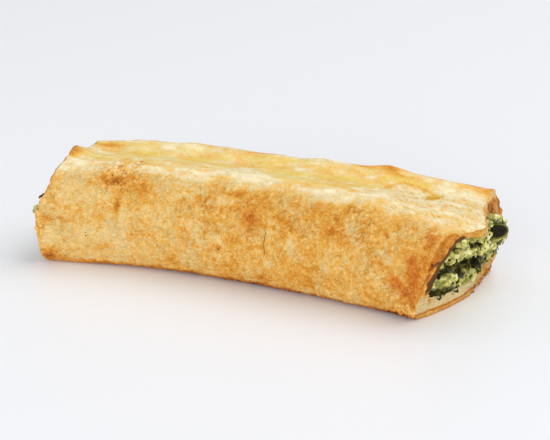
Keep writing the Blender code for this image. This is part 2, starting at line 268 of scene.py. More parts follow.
def noise(points, size, seed):
    """Smooth noise from -1 to 1 with lumps of about the given size, which may differ by axis."""
    scaled = points / np.asarray(size, float)
    corner = np.floor(scaled)
    share = scaled - corner
    share = share**3 * (share * (share * 6.0 - 15.0) + 10.0)
    total = np.zeros(len(points))
    for step in itertools.product((0, 1), repeat=3):
        weight = np.prod(np.where(np.array(step) == 1, share, 1.0 - share), axis=1)
        total += weight * hashed(corner + np.array(step), seed)
    return 2.0 * total - 1.0


def layered(points, size, seed, layers=3, keep=0.55):
    """Noise with finer and weaker layers added."""
    total = np.zeros(len(points))
    strength = 1.0
    size = np.asarray(size, float)
    for layer in range(layers):
        total += strength * noise(points, size, seed + layer)
        size = size * 0.49
        strength *= keep
    return total


def cells(points, size, seed):
    """Distances to the nearest and the second nearest of scattered points, in cell sizes,
    and a number from 0 to 1 that is the nearest one's own."""
    scaled = points / np.asarray(size, float)
    corner = np.floor(scaled)
    nearest = np.full(len(points), 9.0)
    second = nearest.copy()
    own = np.zeros(len(points))
    for step in itertools.product((-1, 0, 1), repeat=3):
        cell = corner + np.array(step)
        place = cell + np.stack([hashed(cell, seed + axis) for axis in range(3)], axis=1)
        distance = np.linalg.norm(place - scaled, axis=1)
        closer = distance < nearest
        second = np.where(closer, nearest, np.minimum(second, distance))
        own = np.where(closer, hashed(cell, seed + 3), own)
        nearest = np.where(closer, distance, nearest)
    return nearest, second, own


def line_distance(flat, line):
    """Distance from each point of a plane to a line through the given corners."""
    best = np.full(len(flat), np.inf)
    corners = np.array(line, float)
    for start, end in zip(corners, corners[1:]):
        run = end - start
        share = np.clip(((flat - start) @ run) / (run @ run), 0.0, 1.0)
        away = flat - start - share[:, None] * run
        best = np.minimum(best, np.linalg.norm(away, axis=1))
    return best


def height_over(line, along):
    """The line's second number at a place along its first."""
    corners = np.array(line, float)
    return np.interp(along, corners[:, 0], corners[:, 1])


def blurred(grid, reach, axis, closed):
    """The grid averaged along one axis; an open axis goes on in a straight line past its ends."""
    moved = np.moveaxis(grid, axis, 0)
    half = int(math.ceil(3.0 * reach))
    if closed:
        padded = np.concatenate([moved[-half:], moved, moved[:half]])
    else:
        before = 2.0 * moved[0] - moved[half:0:-1]
        after = 2.0 * moved[-1] - moved[-2 : -half - 2 : -1]
        padded = np.concatenate([before, moved, after])
    weights = np.exp(-0.5 * (np.arange(-half, half + 1) / reach) ** 2)
    weights /= weights.sum()
    count = len(moved)
    total = sum(weight * padded[index : index + count] for index, weight in enumerate(weights))
    return np.moveaxis(total, 0, axis)


def unit(vectors):
    """The vectors, each made 1 long."""
    return vectors / np.maximum(np.linalg.norm(vectors, axis=-1, keepdims=True), 1e-9)


def turned(rng):
    """A random turn in space, as a matrix."""
    matrix, _ = np.linalg.qr(rng.normal(size=(3, 3)))
    return matrix * np.sign(np.linalg.det(matrix))


# ================================================================ meshes


def new_piece(name, points, faces, material, values=None, sharp=None):
    """A smooth mesh object; values are numbers kept on its points for the material.  Edges
    sharper than the given angle, in degrees, stay sharp."""
    mesh = bpy.data.meshes.new(name)
    mesh.from_pydata((np.asarray(points) * MM).tolist(), [], faces)
    mesh.validate()
    for key, numbers in (values or {}).items():
        layer = mesh.attributes.new(key, "FLOAT", "POINT")
        layer.data.foreach_set("value", np.asarray(numbers, np.float32))
    mesh.shade_smooth()
    if sharp is not None:
        mesh.set_sharp_from_angle(angle=math.radians(sharp))
    mesh.materials.append(material)
    piece = bpy.data.objects.new(name, mesh)
    bpy.context.collection.objects.link(piece)
    return piece


def grid_faces(rows, columns, close_rows, close_columns):
    """Quads over a grid of points, numbered row by row."""
    faces = []
    for row in range(rows if close_rows else rows - 1):
        below = (row + 1) % rows
        for column in range(columns if close_columns else columns - 1):
            beside = (column + 1) % columns
            first = row * columns
            second = below * columns
            faces.append((first + column, first + beside, second + beside, second + column))
    return faces


def grid_normals(grid):
    """Outward normals of a tube's grid, open along its rows and closed around its columns."""
    along = np.gradient(grid, axis=0)
    around = np.roll(grid, -1, axis=1) - np.roll(grid, 1, axis=1)
    return unit(np.cross(around, along))


def mesh_points(mesh):
    """A mesh's points and normals, in millimetres."""
    count = len(mesh.vertices)
    points = np.zeros(count * 3)
    normals = np.zeros(count * 3)
    mesh.vertices.foreach_get("co", points)
    mesh.vertices.foreach_get("normal", normals)
    return points.reshape(-1, 3) / MM, normals.reshape(-1, 3)


def remeshed(name, points, faces, voxel):
    """Points, normals and faces of one closed skin around a heap of overlapping shapes."""
    source = bpy.data.meshes.new(name)
    source.from_pydata((np.asarray(points) * MM).tolist(), [], faces)
    holder = bpy.data.objects.new(name, source)
    bpy.context.collection.objects.link(holder)
    skin = holder.modifiers.new("skin", "REMESH")
    skin.mode = "VOXEL"
    skin.voxel_size = voxel * MM
    skin.adaptivity = 0.0
    bpy.context.view_layer.update()
    depsgraph = bpy.context.evaluated_depsgraph_get()
    result = bpy.data.meshes.new_from_object(holder.evaluated_get(depsgraph))
    bpy.data.objects.remove(holder, do_unlink=True)
    found, normals = mesh_points(result)
    sides = [tuple(face.vertices) for face in result.polygons]
    bpy.data.meshes.remove(result)
    return found, normals, sides


def unit_ball(detail):
    """Points and faces of a round ball of radius 1."""
    ball = bmesh.new()
    bmesh.ops.create_icosphere(ball, subdivisions=detail, radius=1.0)
    points = np.array([vertex.co[:] for vertex in ball.verts])
    faces = [tuple(vertex.index for vertex in face.verts) for face in ball.faces]
    ball.free()
    return points, faces


def joined(shapes):
    """Many small shapes, each points, faces and a dict of values, as one.  A value is one
    number for the whole shape or one for each of its points."""
    points = []
    faces = []
    values = {}
    count = 0
    for shape_points, shape_faces, shape_values in shapes:
        points.append(shape_points)
        faces.extend(tuple(index + count for index in face) for face in shape_faces)
        count += len(shape_points)
        for key, number in shape_values.items():
            values.setdefault(key, []).append(np.broadcast_to(number, len(shape_points)))
    return np.vstack(points), faces, {key: np.concatenate(parts) for key, parts in values.items()}


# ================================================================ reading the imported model


def packed_shape(name):
    """Points, in millimetres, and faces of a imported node."""
    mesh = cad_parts[name].data
    points, _ = mesh_points(mesh)
    return points, [tuple(face.vertices) for face in mesh.polygons]


def search_tree(points, faces):
    """A tree that answers where a ray meets the faces."""
    return BVHTree.FromPolygons(points.tolist(), faces)


PASTRY_TREE = search_tree(*packed_shape("pastry"))
FILLING_POINTS, FILLING_FACES = packed_shape("filling")
FILLING_TREE = search_tree(FILLING_POINTS, FILLING_FACES)
SIDE_BEND = np.polyfit(FILLING_POINTS[:, 0], FILLING_POINTS[:, 1], 2)


def centre_side(along):
    """Sideways place of the roll's middle, which bends a little."""
    return np.polyval(SIDE_BEND, along)


def dough_ray(along, turn, which):
    """Where a ray through the centre line meets the dough's inner (0) or outer (1) surface: its
    distance from that line, negative on the other side, and the normal there, or None twice."""
    aim = Vector((0.0, math.cos(turn), math.sin(turn)))
    centre = Vector((along, centre_side(along), CENTRE_HEIGHT))
    if which == 0:
        _, normal, _, distance = PASTRY_TREE.ray_cast(centre, aim)
        return distance, normal
    _, normal, _, distance = PASTRY_TREE.ray_cast(centre + aim * FAR_OUT, -aim)
    return (None if distance is None else FAR_OUT - distance), normal


def wall_radii(along, turn):
    """Distances from the centre line to the dough's inner and outer surface, or None."""
    inner, _ = dough_ray(along, turn, 0)
    outer, _ = dough_ray(along, turn, 1)
    return None if inner is None or outer is None else (inner, outer)


def turn_angles():
    """Turns around the section, evenly spaced along its outline but sparse underneath."""
    fine = np.linspace(-0.5 * math.pi, 1.5 * math.pi, FINE_TURNS + 1)
    radii = np.array([wall_radii(0.0, turn)[1] for turn in fine])
    outline = np.stack([radii * np.cos(fine), CENTRE_HEIGHT + radii * np.sin(fine)], axis=1)
    steps = np.linalg.norm(np.diff(outline, axis=0), axis=1)
    height = 0.5 * (outline[1:, 1] + outline[:-1, 1])
    steps *= np.where(height < BASE_STRIP, BASE_WEIGHT, 1.0)
    distance = np.concatenate([[0.0], np.cumsum(steps)])
    return np.interp(np.linspace(0.0, distance[-1], TURNS, endpoint=False), distance, fine)


def on_wall(along, turn, which):
    """Whether the dough's inner (0) or outer (1) surface is there at a place and turn, rather
    than its cut face or nothing."""
    distance, normal = dough_ray(along, turn, which)
    return distance is not None and distance > 0.0 and abs(normal.x) < CUT_FACING


def cut_places(turns, end):
    """Where the cut at one end meets the dough's outer and inner surface, for each turn."""
    places = np.zeros((2, len(turns)))
    for row, which in enumerate((1, 0)):
        for column, turn in enumerate(turns):
            inside, outside = CUT_SEARCH
            for _ in range(CUT_ROUNDS):
                middle = 0.5 * (inside + outside)
                if on_wall(end * middle, turn, which):
                    inside = middle
                else:
                    outside = middle
            places[row, column] = end * inside
    return blurred(places, CUT_BLUR, 1, True)


def wall_grid(left, right, turns, shares, which):
    """Points of the dough's inner (0) or outer (1) surface, for shares of the way from the
    left cut to the right cut."""
    grid = np.zeros((len(shares), len(turns), 3))
    for column, turn in enumerate(turns):
        last = None
        for row, share in enumerate(shares):
            along = left[column] + (right[column] - left[column]) * share
            inside = np.clip(along, left[column] + CUT_MARGIN, right[column] - CUT_MARGIN)
            last = wall_radii(inside, turn) or last
            side = centre_side(inside) + last[which] * math.cos(turn)
            height = CENTRE_HEIGHT + last[which] * math.sin(turn)
            grid[row, column] = (along, side, height)
    return grid


# ================================================================ the crust


def smooth_skin(grid):
    """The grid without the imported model's facets; the foot keeps its corner."""
    soft = blurred(blurred(grid, FACET_BLUR, 0, False), FACET_BLUR, 1, True)
    firm = blurred(blurred(grid, FACET_BLUR, 0, False), FOOT_BLUR, 1, True)
    share = fade(*FOOT_ZONE, grid[..., 2])[..., None]
    result = firm + (soft - firm) * share
    result[..., 2] = np.maximum(result[..., 2], 0.0)
    return result


def patch_sum(first, second, patches, column):
    """Sum of soft patches over a plane; column says which of their numbers is the strength."""
    total = np.zeros(len(first))
    for patch in patches:
        shape = bell(first - patch[0], patch[2]) * bell(second - patch[1], patch[3])
        total += patch[column] * shape
    return total


def skin_zones(points, to_cut):
    """Masks, from 0 to 1, of the parts of the skin that are baked in different ways; to_cut is
    the distance along the roll to the open end."""
    along, across, height = points.T
    wander = 1.3 * layered(points, 6.0, 11) + 0.8 * noise(points, 2.2, 14)
    wall_top = height_over(WALL_TOP, along) + wander
    fold = height_over(RIDGE_FOLD, along)
    crest = height_over(CREST, along)
    crease = height_over(CREASE, along)
    high = fade(18.0, 24.0, height)
    panel = fade(PANEL_START - 3.0, PANEL_START + 3.0, along)
    behind = fold + (crease - fold) * panel
    zones = {}
    zones["near"] = 1.0 - fade(-5.0, 2.6, across - wall_top) * high
    zones["far"] = fade(1.8, 7.5, across - crest + 0.7 * wander)
    zones["top"] = np.clip(1.0 - zones["near"] - zones["far"], 0.0, 1.0)
    zones["ridge"] = zones["top"] * (1.0 - fade(-0.4, 0.9, across - fold)) * (1.0 - panel)
    zones["panel"] = zones["top"] * panel * (1.0 - fade(-0.3, 0.6, across - behind))
    sunken = fade(0.2, 2.4, across - behind) * fade(0.0, 3.5, crest - across)
    ends = fade(-69.0, -58.0, along) * (1.0 - fade(50.0, 57.0, along))
    zones["valley"] = zones["top"] * sunken * ends
    zones["crest"] = bell(across - crest - 0.8, 1.0) * high * (0.3 + 0.7 * fade(-25.0, 0.0, along))
    zones["foot"] = 1.0 - fade(0.2, 1.8, height)
    width = 0.3 + 2.5 * fade(16.0, 26.0, height) + 0.3 * noise(points, 1.7, 77)
    edge = 1.0 - fade(0.75 * width, 1.15 * width, to_cut)
    zones["near_edge"] = edge * fade(-14.5, -16.5, across) * fade(7.0, 14.0, height)
    flat = np.stack([along, height], axis=1)
    zones["flaky"] = soft_disc(flat, FLAKY_AT, FLAKY_REACH, points, 31) * fade(-6.0, -13.0, across)
    zones["crumbly"] = soft_disc(flat, CRUMBLY_AT, CRUMBLY_REACH, points, 41) * fade(0.0, -6.0, across)
    return zones


def soft_disc(flat, middle, reach, points, seed):
    """A patch with a ragged edge."""
    away = np.linalg.norm((flat - np.array(middle)) / np.array(reach), axis=1)
    return 1.0 - fade(0.65, 1.1, away + 0.28 * layered(points, 3.0, seed))


def flake_plates(points):
    """Edges, from 0 to 1, and each one's own number of the flakes of a lifted layer."""
    nearest, second, own = cells(points, (2.9, 2.4, 2.0), 101)
    return 1.0 - fade(0.03, 0.26, second - nearest), own


def skin_relief(points, zones):
    """How far the baked surface stands out of the smooth skin."""
    along, across, height = points.T
    flat = np.stack([along, across], axis=1)
    baked = zones["near"] + zones["far"]
    nearest, _, own = cells(points, 2.6, 51)
    blister = np.clip(1.0 - nearest * 1.25, 0.0, 1.0) ** 1.3 * (0.35 + 0.9 * own)
    small, _, small_own = cells(points, 1.35, 61)
    pimple = np.clip(1.0 - small * 1.3, 0.0, 1.0) * small_own
    relief = 0.30 * noise(points, 14.0, 71) + 0.20 * noise(points, 6.0, 72)
    relief += baked * (0.34 * blister + 0.14 * pimple + 0.06 * noise(points, 1.1, 73))
    relief += zones["near_edge"] * (0.40 + 0.45 * noise(points, 1.3, 76))
    bent = points + np.array([0.0, 2.5, 0.0]) * noise(points, 14.0, 80)[:, None]
    streak = layered(bent, (12.0, 1.8, 4.0), 81, 2)
    relief += zones["top"] * (0.24 * streak + 0.12 * noise(points, (3.0, 1.2, 2.0), 84))

    fold = across - height_over(RIDGE_FOLD, along)
    left_of_panel = 1.0 - fade(30.0, 40.0, along)
    lip = bell(fold + 0.8, 1.1) * 0.34 - bell(fold - 0.6, 0.9) * 0.34
    relief += zones["top"] * left_of_panel * lip
    crease = line_distance(flat, CREASE)
    beyond = across - height_over(CREASE, along)
    on_top = fade(22.0, 27.0, height)
    relief -= on_top * 0.34 * bell(crease, 0.7)
    relief += on_top * 0.26 * bell(crease - 1.5, 0.9) * (1.0 - fade(-0.5, 0.5, beyond))
    dimple = np.hypot(along - DIMPLE[0], across - DIMPLE[1])
    relief -= on_top * 0.12 * bell(dimple, DIMPLE[2])
    curl = bell(along - CURL[0], CURL[2]) * bell(across - CURL[1], CURL[3])
    relief += on_top * CURL[4] * curl
    skewed = np.stack([along + 0.8 * across, across - 0.35 * along, height], axis=1)
    wrinkle = 1.0 - 2.0 * np.abs(noise(skewed, (2.2, 7.0, 4.0), 91))
    relief += zones["panel"] * 0.12 * wrinkle * fade(38.0, 48.0, along)

    rim, plate_own = flake_plates(points)
    relief += zones["flaky"] * (0.60 * (plate_own - 0.4) + 0.30 * rim)
    crumb, _, crumb_own = cells(points, 1.5, 111)
    relief += zones["crumbly"] * 0.75 * np.clip(1.0 - 1.2 * crumb, 0.0, 1.0) * crumb_own
    return relief * fade(0.0, 2.2, height)


def soft_ceiling(value, start, share):
    """The value, of whose part above the start only a share is kept."""
    return np.where(value > start, start + (value - start) * share, value)


def spread(points, size, seed):
    """A smooth shift of each point, for bending a pattern."""
    return np.stack([noise(points, size, seed + axis) for axis in range(3)], axis=1)


def wall_browning(points, zones, near_side):
    """Uneven browning of the two sides: mottling, outlines of blisters, and patches."""
    wall = 0.055 * layered(points, 9.0, 121) + 0.045 * layered(points, 3.2, 131)
    nearest, second, own = cells(points + 0.7 * spread(points, 2.0, 135), 2.4, 137)
    blistered = fade(-0.25, 0.35, noise(points, 7.0, 141))
    outline = 1.0 - fade(0.02, 0.20, second - nearest)
    wall += blistered * (0.16 * (own - 0.45) - 0.13 * outline)
    wall += zones["near"] * near_side * patch_sum(points[:, 0], points[:, 2], WALL_PATCHES, 4)
    far_spots = np.clip(layered(points, 5.0, 151) - 0.25, 0.0, 1.0)
    return wall + zones["far"] * (1.0 - near_side) * 0.26 * far_spots


def skin_finish(points, zones):
    """Browning, translucence, redness, grain and creases of the skin, for its material."""
    along, across, height = points.T
    baked = zones["near"] + zones["far"]
    near_side = fade(0.0, -6.0, across)
    high = fade(20.0, 26.0, height)
    wall = wall_browning(points, zones, near_side)
    browning = 0.10 + baked * (0.22 + wall + 0.15 * fade(-55.0, -5.0, along))
    browning += (0.07 + 0.11 * fade(0.0, 30.0, along)) * zones["valley"] + 0.05 * zones["panel"]
    streaks = layered(points, (11.0, 1.8, 4.0), 141) * (1.0 - 0.65 * fade(25.0, 50.0, along))
    browning += zones["top"] * (0.14 * streaks + 0.13 * layered(points, (3.6, 2.4, 3.0), 145, 3))
    browning += high * patch_sum(along, across, TOP_PATCHES, 4)
    burnt = fade(-0.5, 0.6, noise(points, (9.0, 30.0, 30.0), 161))
    browning += zones["crest"] * (0.12 + 0.34 * burnt)
    crease = line_distance(np.stack([along, across], axis=1), CREASE)
    browning += high * 0.34 * bell(crease, 0.6)
    fold = across - height_over(RIDGE_FOLD, along)
    left_of_panel = 1.0 - fade(30.0, 38.0, along)
    browning += zones["top"] * left_of_panel * 0.07 * bell(fold - 0.8, 0.8)
    browning += zones["near_edge"] * (0.36 - 0.04 * high + 0.30 * noise(points, 1.3, 165))
    rim, plate_own = flake_plates(points)
    browning += zones["flaky"] * (0.30 * (plate_own - 0.35) - 0.16 * rim + 0.05)
    browning += zones["crumbly"] * 0.15 * noise(points, 1.6, 171)
    browning = soft_ceiling(browning, 0.66, 0.55)
    # a darker, redder band along the near side's foot
    dark_foot_band = (1.0 - fade(1.5, 2.5, height + 0.4 * noise(points, 2.4, 175))) * near_side
    browning += 0.06 * zones["foot"] + 0.36 * dark_foot_band * fade(-70.0, -55.0, along)

    thin = zones["valley"] * np.clip(0.46 + 0.75 * layered(points, (7.0, 2.2, 4.0), 181), 0.0, 1.0)
    thin += high * patch_sum(along, across, TOP_PATCHES, 5)
    thin += high * 0.4 * bell(crease, 1.2)
    red = zones["near"] * near_side * patch_sum(along, height, WALL_PATCHES, 5)
    red += 0.20 * zones["foot"] + 0.5 * zones["crest"] + 0.3 * dark_foot_band
    red += 0.5 * zones["near_edge"] * fade(26.0, 20.0, height)
    creased = zones["panel"] * fade(40.0, 50.0, along) + 0.35 * zones["ridge"] + 0.3 * zones["valley"]
    return {"browning": browning, "thin": thin, "red": red, "grain": baked, "creased": creased}


def ragged_cuts(turns, left, right):
    """The two cuts with torn edges; a small shift for each turn, less at the foot."""
    ring = np.stack([30.0 * np.cos(turns), 30.0 * np.sin(turns), np.zeros(len(turns))], axis=1)
    up = fade(-0.9, -0.4, np.sin(turns))
    shift_right = up * (RAG_LARGE * noise(ring, 7.0, 201) + RAG_SMALL * noise(ring, 1.9, 202))
    shift_left = up * (RAG_LARGE * noise(ring, 7.0, 203) + RAG_SMALL * noise(ring, 1.9, 204))
    right = right + shift_right
    left = left + shift_left
    for place, reach, depth in OPEN_CUT_BAYS:
        right[0] -= depth * bell(np.degrees(turns) - place, reach)
    for place, reach, depth in SHUT_CUT_BAYS:
        left += depth * bell(np.degrees(turns) - place, reach)
    return left, right


def cut_shares():
    """Shares of the way from a cut's outer edge to its inner one."""
    return [(step / (CUT_RINGS + 1.0)) ** CUT_CROWDING for step in range(1, CUT_RINGS + 1)]


def edge_rounding(height):
    """Rounding of a cut's edge, sharper at the foot."""
    return EDGE_ROUND * (EDGE_SHARP + (1.0 - EDGE_SHARP) * fade(0.5, 4.0, height))


def fold_share(points, end):
    """1 in the small fold of the inner dough in the open end's near corner."""
    away = line_distance(points[:, 1:], CORNER_FOLD)
    return bell(away, FOLD_HALF) * (end > 0.0)


def cut_rings(outer, inner, end):
    """Rings across the dough's thickness at one cut, rounded at both edges, with thin layers."""
    rounding = edge_rounding(outer[:, 2])
    thickness = np.linalg.norm(outer - inner, axis=1)
    rings = []
    for share in cut_shares():
        ring = outer + (inner - outer) * share
        depth = share * thickness
        inset = np.clip(np.minimum(depth, thickness - depth) / rounding, 0.0, 1.0)
        bulge = rounding * np.sqrt(1.0 - (1.0 - inset) ** 2)
        strip = np.stack([ring[:, 1], ring[:, 2], np.zeros(len(ring))], axis=1)
        layers = np.sin(2.0 * math.pi * depth / LAYER_PITCH + 2.0 * noise(strip, 6.0, 211))
        rough = 0.6 * layers * noise(strip, 5.0, 212) + noise(strip, 1.3, 213)
        torn = fade(4.0, 14.0, ring[:, 1])
        split = bell(ring[:, 2] - SPLIT_HEIGHT, SPLIT_HALF)
        crumb, _, crumb_own = cells(strip, 1.5, 214)
        crumbs = fade(-1.0, 5.0, ring[:, 1]) * fade(20.0, 15.0, ring[:, 2]) * (end > 0.0)
        bulge += crumbs * (1.1 * np.clip(1.0 - 1.1 * crumb, 0.0, 1.0) * crumb_own - 0.2)
        bulge -= 0.45 * fold_share(ring, end)
        ring[:, 0] += end * (bulge + LAYER_DEPTH * rough * (1.0 + 0.9 * torn) - 0.55 * split)
        rings.append(ring)
    return rings


def mark_open_cut(share, depth, across, height, browning, red, thin):
    """Change a ring's values at the open end: dark behind the near edge, from toasting and painted shade
    of the gap, brown inside the torn far corner, and golden at the lip between them."""
    strip = np.stack([np.zeros(len(across)), across, height], axis=1)
    # behind the near edge the cut is darker, from toasting and painted shade; its inner part is darkest,
    # and that is painted shade of the gap
    near_rim = fade(-12.8, -14.8, across) * fade(8.0, 12.0, height)
    painted_gap_shade = near_rim * fade(0.14, 0.34, share + 0.08 * noise(strip, 1.5, 225))
    browning += near_rim * (0.26 + 0.22 * noise(strip, 1.3, 224)) + 0.90 * painted_gap_shade
    torn = fade(4.0, 8.0, across) * fade(19.5, 22.5, height)
    inside = fade(0.1, 0.6, depth) * fade(30.4, 28.4, height)
    browning += torn * inside * (0.34 + 0.40 * noise(strip, (4.0, 1.1, 5.0), 222))
    red += 0.7 * torn * inside + 0.2 * painted_gap_shade
    lip = bell(across + 9.8, 3.6) * fade(20.0, 26.0, height)
    under = lip * fade(0.72, 0.95, share)
    browning += 0.30 * lip + 0.30 * under
    red += 0.6 * under - 0.3 * lip
    thin += 0.20 * lip
    browning *= 1.0 - 0.5 * fade(4.0, 8.0, across) * fade(28.0, 30.2, height)
    far_edge = fade(3.0, 9.0, across) * (1.0 - fade(14.0, 20.0, height))
    browning += far_edge * (0.26 + 0.36 * noise(strip, 1.2, 223))


def cut_finish(outer, inner, end):
    """Browning and the rest over one cut: browned skin, thin layers and pale dough inside, which is
    paler low down, partly as painted light.
    """
    thickness = np.linalg.norm(outer - inner, axis=1)
    result = {key: [] for key in ("browning", "thin", "red", "grain", "creased")}
    for share in cut_shares():
        ring = outer + (inner - outer) * share
        across, height = ring[:, 1], ring[:, 2]
        depth = share * thickness
        strip = np.stack([ring[:, 0] * 0.0, across, height], axis=1)
        low = 1.0 - fade(3.5, 7.0, height)
        high = fade(20.0, 26.0, height)
        # low on the cut the pale inner dough is made paler still, as painted light
        browning = 0.20 - 0.14 * low + 0.10 * high + 0.30 * bell(depth, 0.5)
        browning += (0.10 - 0.05 * low) * noise(strip, 2.2, 221) + 0.5 * fold_share(ring, end)
        browning += 0.05 * np.sin(2.0 * math.pi * depth / LAYER_PITCH + 2.0 * noise(strip, 6.0, 211))
        split = bell(height - SPLIT_HEIGHT, SPLIT_HALF)
        outer_layer = 1.0 - fade(SPLIT_HEIGHT - 0.5, SPLIT_HEIGHT, height)
        red = 0.7 * split + 0.3 * bell(depth, 0.6) + 0.2 * outer_layer
        thin = np.full(len(ring), 0.1)
        browning += 0.60 * split + 0.34 * outer_layer
        if end > 0.0:
            mark_open_cut(share, depth, across, height, browning, red, thin)
        grain = np.full(len(ring), 0.7)
        for key, value in zip(result, (browning, thin, red, grain, np.zeros(len(ring)))):
            result[key].append(value)
    return result


def inner_finish(points):
    """The inner wall is pale and moist, and dark behind the open end's near edge and under its roof,
    from toasting and painted shade.
    """
    along, across, height = points.T
    near_end = fade(58.0, 66.0, along)
    upper = fade(16.0, 22.0, height)
    near_wall = fade(-12.0, -18.0, across) * fade(6.0, 10.0, height)
    # painted shade over toasting: the inner wall behind the near edge and under the roof is coloured
    # dark brown
    toast_and_shade = near_end * np.maximum(0.50 * upper, 0.64 * near_wall)
    browning = 0.24 - 0.16 * fade(9.0, 7.0, height) + toast_and_shade + 0.05 * layered(points, 3.0, 231)
    return {
        "browning": browning,
        "thin": np.full(len(points), 0.35),
        "red": 0.5 * toast_and_shade,
        "grain": np.full(len(points), 0.3),
        "creased": np.zeros(len(points)),
    }


def reshaped_bore(outer, inner):
    """The inner wall changed near the open end: a thinner near wall, a fold of dough in the
    near corner of the floor, and a torn far roof that hangs lower."""
    along, across, height = inner[..., 0], inner[..., 1], inner[..., 2]
    near_end = fade(52.0, 64.0, along)
    near_wall = near_end * fade(-12.0, -15.0, outer[..., 1]) * fade(4.0, 9.0, height)
    far_top = near_end * fade(16.0, 22.0, across) * fade(14.0, 19.0, height)
    keep = 1.0 + near_wall * (height_over(WALL_SHARE, height) - 1.0) + (FAR_SHARE - 1.0) * far_top
    shaped = outer + (inner - outer) * keep[..., None]
    floor = height_over(CORNER_FLOOR, shaped[..., 1])
    raised = np.maximum(shaped[..., 2], floor)
    corner = near_end * fade(12.0, 9.0, height)
    shaped[..., 2] += corner * (raised - shaped[..., 2])
    roof = fade(60.0, 69.0, along) * fade(20.0, 23.0, height)
    for place, reach, sag in ROOF_SAGS:
        shaped[..., 2] -= roof * sag * bell(across - place, reach)
    return shaped


def smooth_walls():
    """Grids of the dough's outer and inner surface, between two ragged cuts."""
    turns = turn_angles()
    left = cut_places(turns, -1.0)
    right = cut_places(turns, 1.0)
    rag_left, rag_right = ragged_cuts(turns, left, right)
    skin_shares = np.linspace(0.0, 1.0, STATIONS)
    skin = wall_grid(left[0], right[0], turns, skin_shares, 1)
    inner_shares = 0.5 + 0.5 * np.sin(np.linspace(-0.5 * math.pi, 0.5 * math.pi, INNER_STATIONS))
    bore = wall_grid(left[1], right[1], turns, inner_shares, 0)
    beside = wall_grid(left[1], right[1], turns, inner_shares, 1)
    bore = reshaped_bore(beside, bore)
    for grid, shares, row in ((skin, skin_shares, 0), (bore, inner_shares, 1)):
        start = rag_left[row] + edge_rounding(skin[0, :, 2])
        finish = rag_right[row] - edge_rounding(skin[-1, :, 2])
        grid[..., 0] = start[None, :] + (finish - start)[None, :] * shares[:, None]
    return smooth_skin(skin), blurred(bore, CUT_BLUR, 1, True)


def roughened(bore):
    """The inner wall with a rough surface."""
    points = bore.reshape(-1, 3)
    rough = 0.22 * layered(points, 2.6, 241)
    away = np.stack([np.zeros(len(points)), points[:, 1] - centre_side(points[:, 0]),
                     points[:, 2] - CENTRE_HEIGHT], axis=1)
    return (points + unit(away) * rough[:, None]).reshape(bore.shape)


def make_crust(material):
    """The whole dough as one closed tube: skin, right cut, inner wall and left cut.  The piece,
    the outline of its opening, and the skin's points, normals, values and zones."""
    skin, bore = smooth_walls()
    normals = grid_normals(skin).reshape(-1, 3)
    flat = skin.reshape(-1, 3)
    zones = skin_zones(flat, (skin[-1:, :, 0] - skin[..., 0]).ravel())
    finish = skin_finish(flat, zones)
    surface = flat + normals * skin_relief(flat, zones)[:, None]
    skin = surface.reshape(skin.shape).copy()
    skin[..., 2] = np.maximum(skin[..., 2], 0.0)
    bore = roughened(bore)

    right_rings = cut_rings(skin[-1], bore[-1], 1.0)
    left_rings = cut_rings(skin[0], bore[0], -1.0)
    rings = list(skin) + right_rings + list(bore[::-1]) + left_rings[::-1]
    right_values = cut_finish(skin[-1], bore[-1], 1.0)
    left_values = cut_finish(skin[0], bore[0], -1.0)
    inner_values = inner_finish(bore[::-1].reshape(-1, 3))
    values = {key: np.concatenate([finish[key], *right_values[key], inner_values[key],
                                   *left_values[key][::-1]]) for key in finish}
    faces = [face[::-1] for face in grid_faces(len(rings), TURNS, True, True)]
    piece = new_piece("crust", np.concatenate(rings), faces, material, values)
    return piece, bore[-1][:, 1:], surface, normals, finish, zones


# ================================================================ flakes and crumbs


def shard(rng, length, width, thick):
    """A small flake of dry dough with curled edges, closed, lying in its own plane."""
    rows, columns = 6, 5
    u, v = np.meshgrid(np.linspace(-1, 1, rows), np.linspace(-1, 1, columns), indexing="ij")
    outline = 1.0 + 0.50 * rng.uniform(-1, 1, size=u.shape)
    taper = 1.0 - 0.75 * u**2 * rng.uniform(0.3, 1.0)
    x = u * length * 0.5 * (0.75 + 0.25 * outline)
    y = v * width * 0.5 * outline * taper
    curl = rng.uniform(0.02, 0.16) * u**2 + rng.uniform(0.0, 0.16) * v**2 * width / length
    z = length * (curl + 0.03 * rng.uniform(-1, 1, size=u.shape))
    return sheet_solid(np.stack([x, y, z], axis=-1), thick)


def sheet_solid(grid, thick):
    """A closed thin solid around a grid of points."""
    rows, columns = grid.shape[:2]
    along = np.gradient(grid, axis=0)
    around = np.gradient(grid, axis=1)
    normals = unit(np.cross(along, around))
    upper = (grid + normals * thick * 0.5).reshape(-1, 3)
    lower = (grid - normals * thick * 0.5).reshape(-1, 3)
    count = rows * columns
    top = grid_faces(rows, columns, False, False)
    faces = [face[::-1] for face in top] + [tuple(index + count for index in face) for face in top]
    border = list(range(columns))
    border += [row * columns + columns - 1 for row in range(1, rows)]
    border += [(rows - 1) * columns + column for column in range(columns - 2, -1, -1)]
    border += [row * columns for row in range(rows - 2, 0, -1)]
    for first, second in zip(border, border[1:] + border[:1]):
        faces.append((first, first + count, second + count, second))
    return np.vstack([upper, lower]), [face[::-1] for face in faces]


def basis(normal, rng):
    """Axes with the third along the normal and the first in a random direction."""
    side = unit(np.cross(normal, rng.normal(size=3)))
    return np.stack([side, np.cross(normal, side), normal], axis=0)


def picked(rng, weight, count):
    """Random places in a list, each as likely as its weight says."""
    return rng.choice(len(weight), size=count, p=weight / weight.sum())


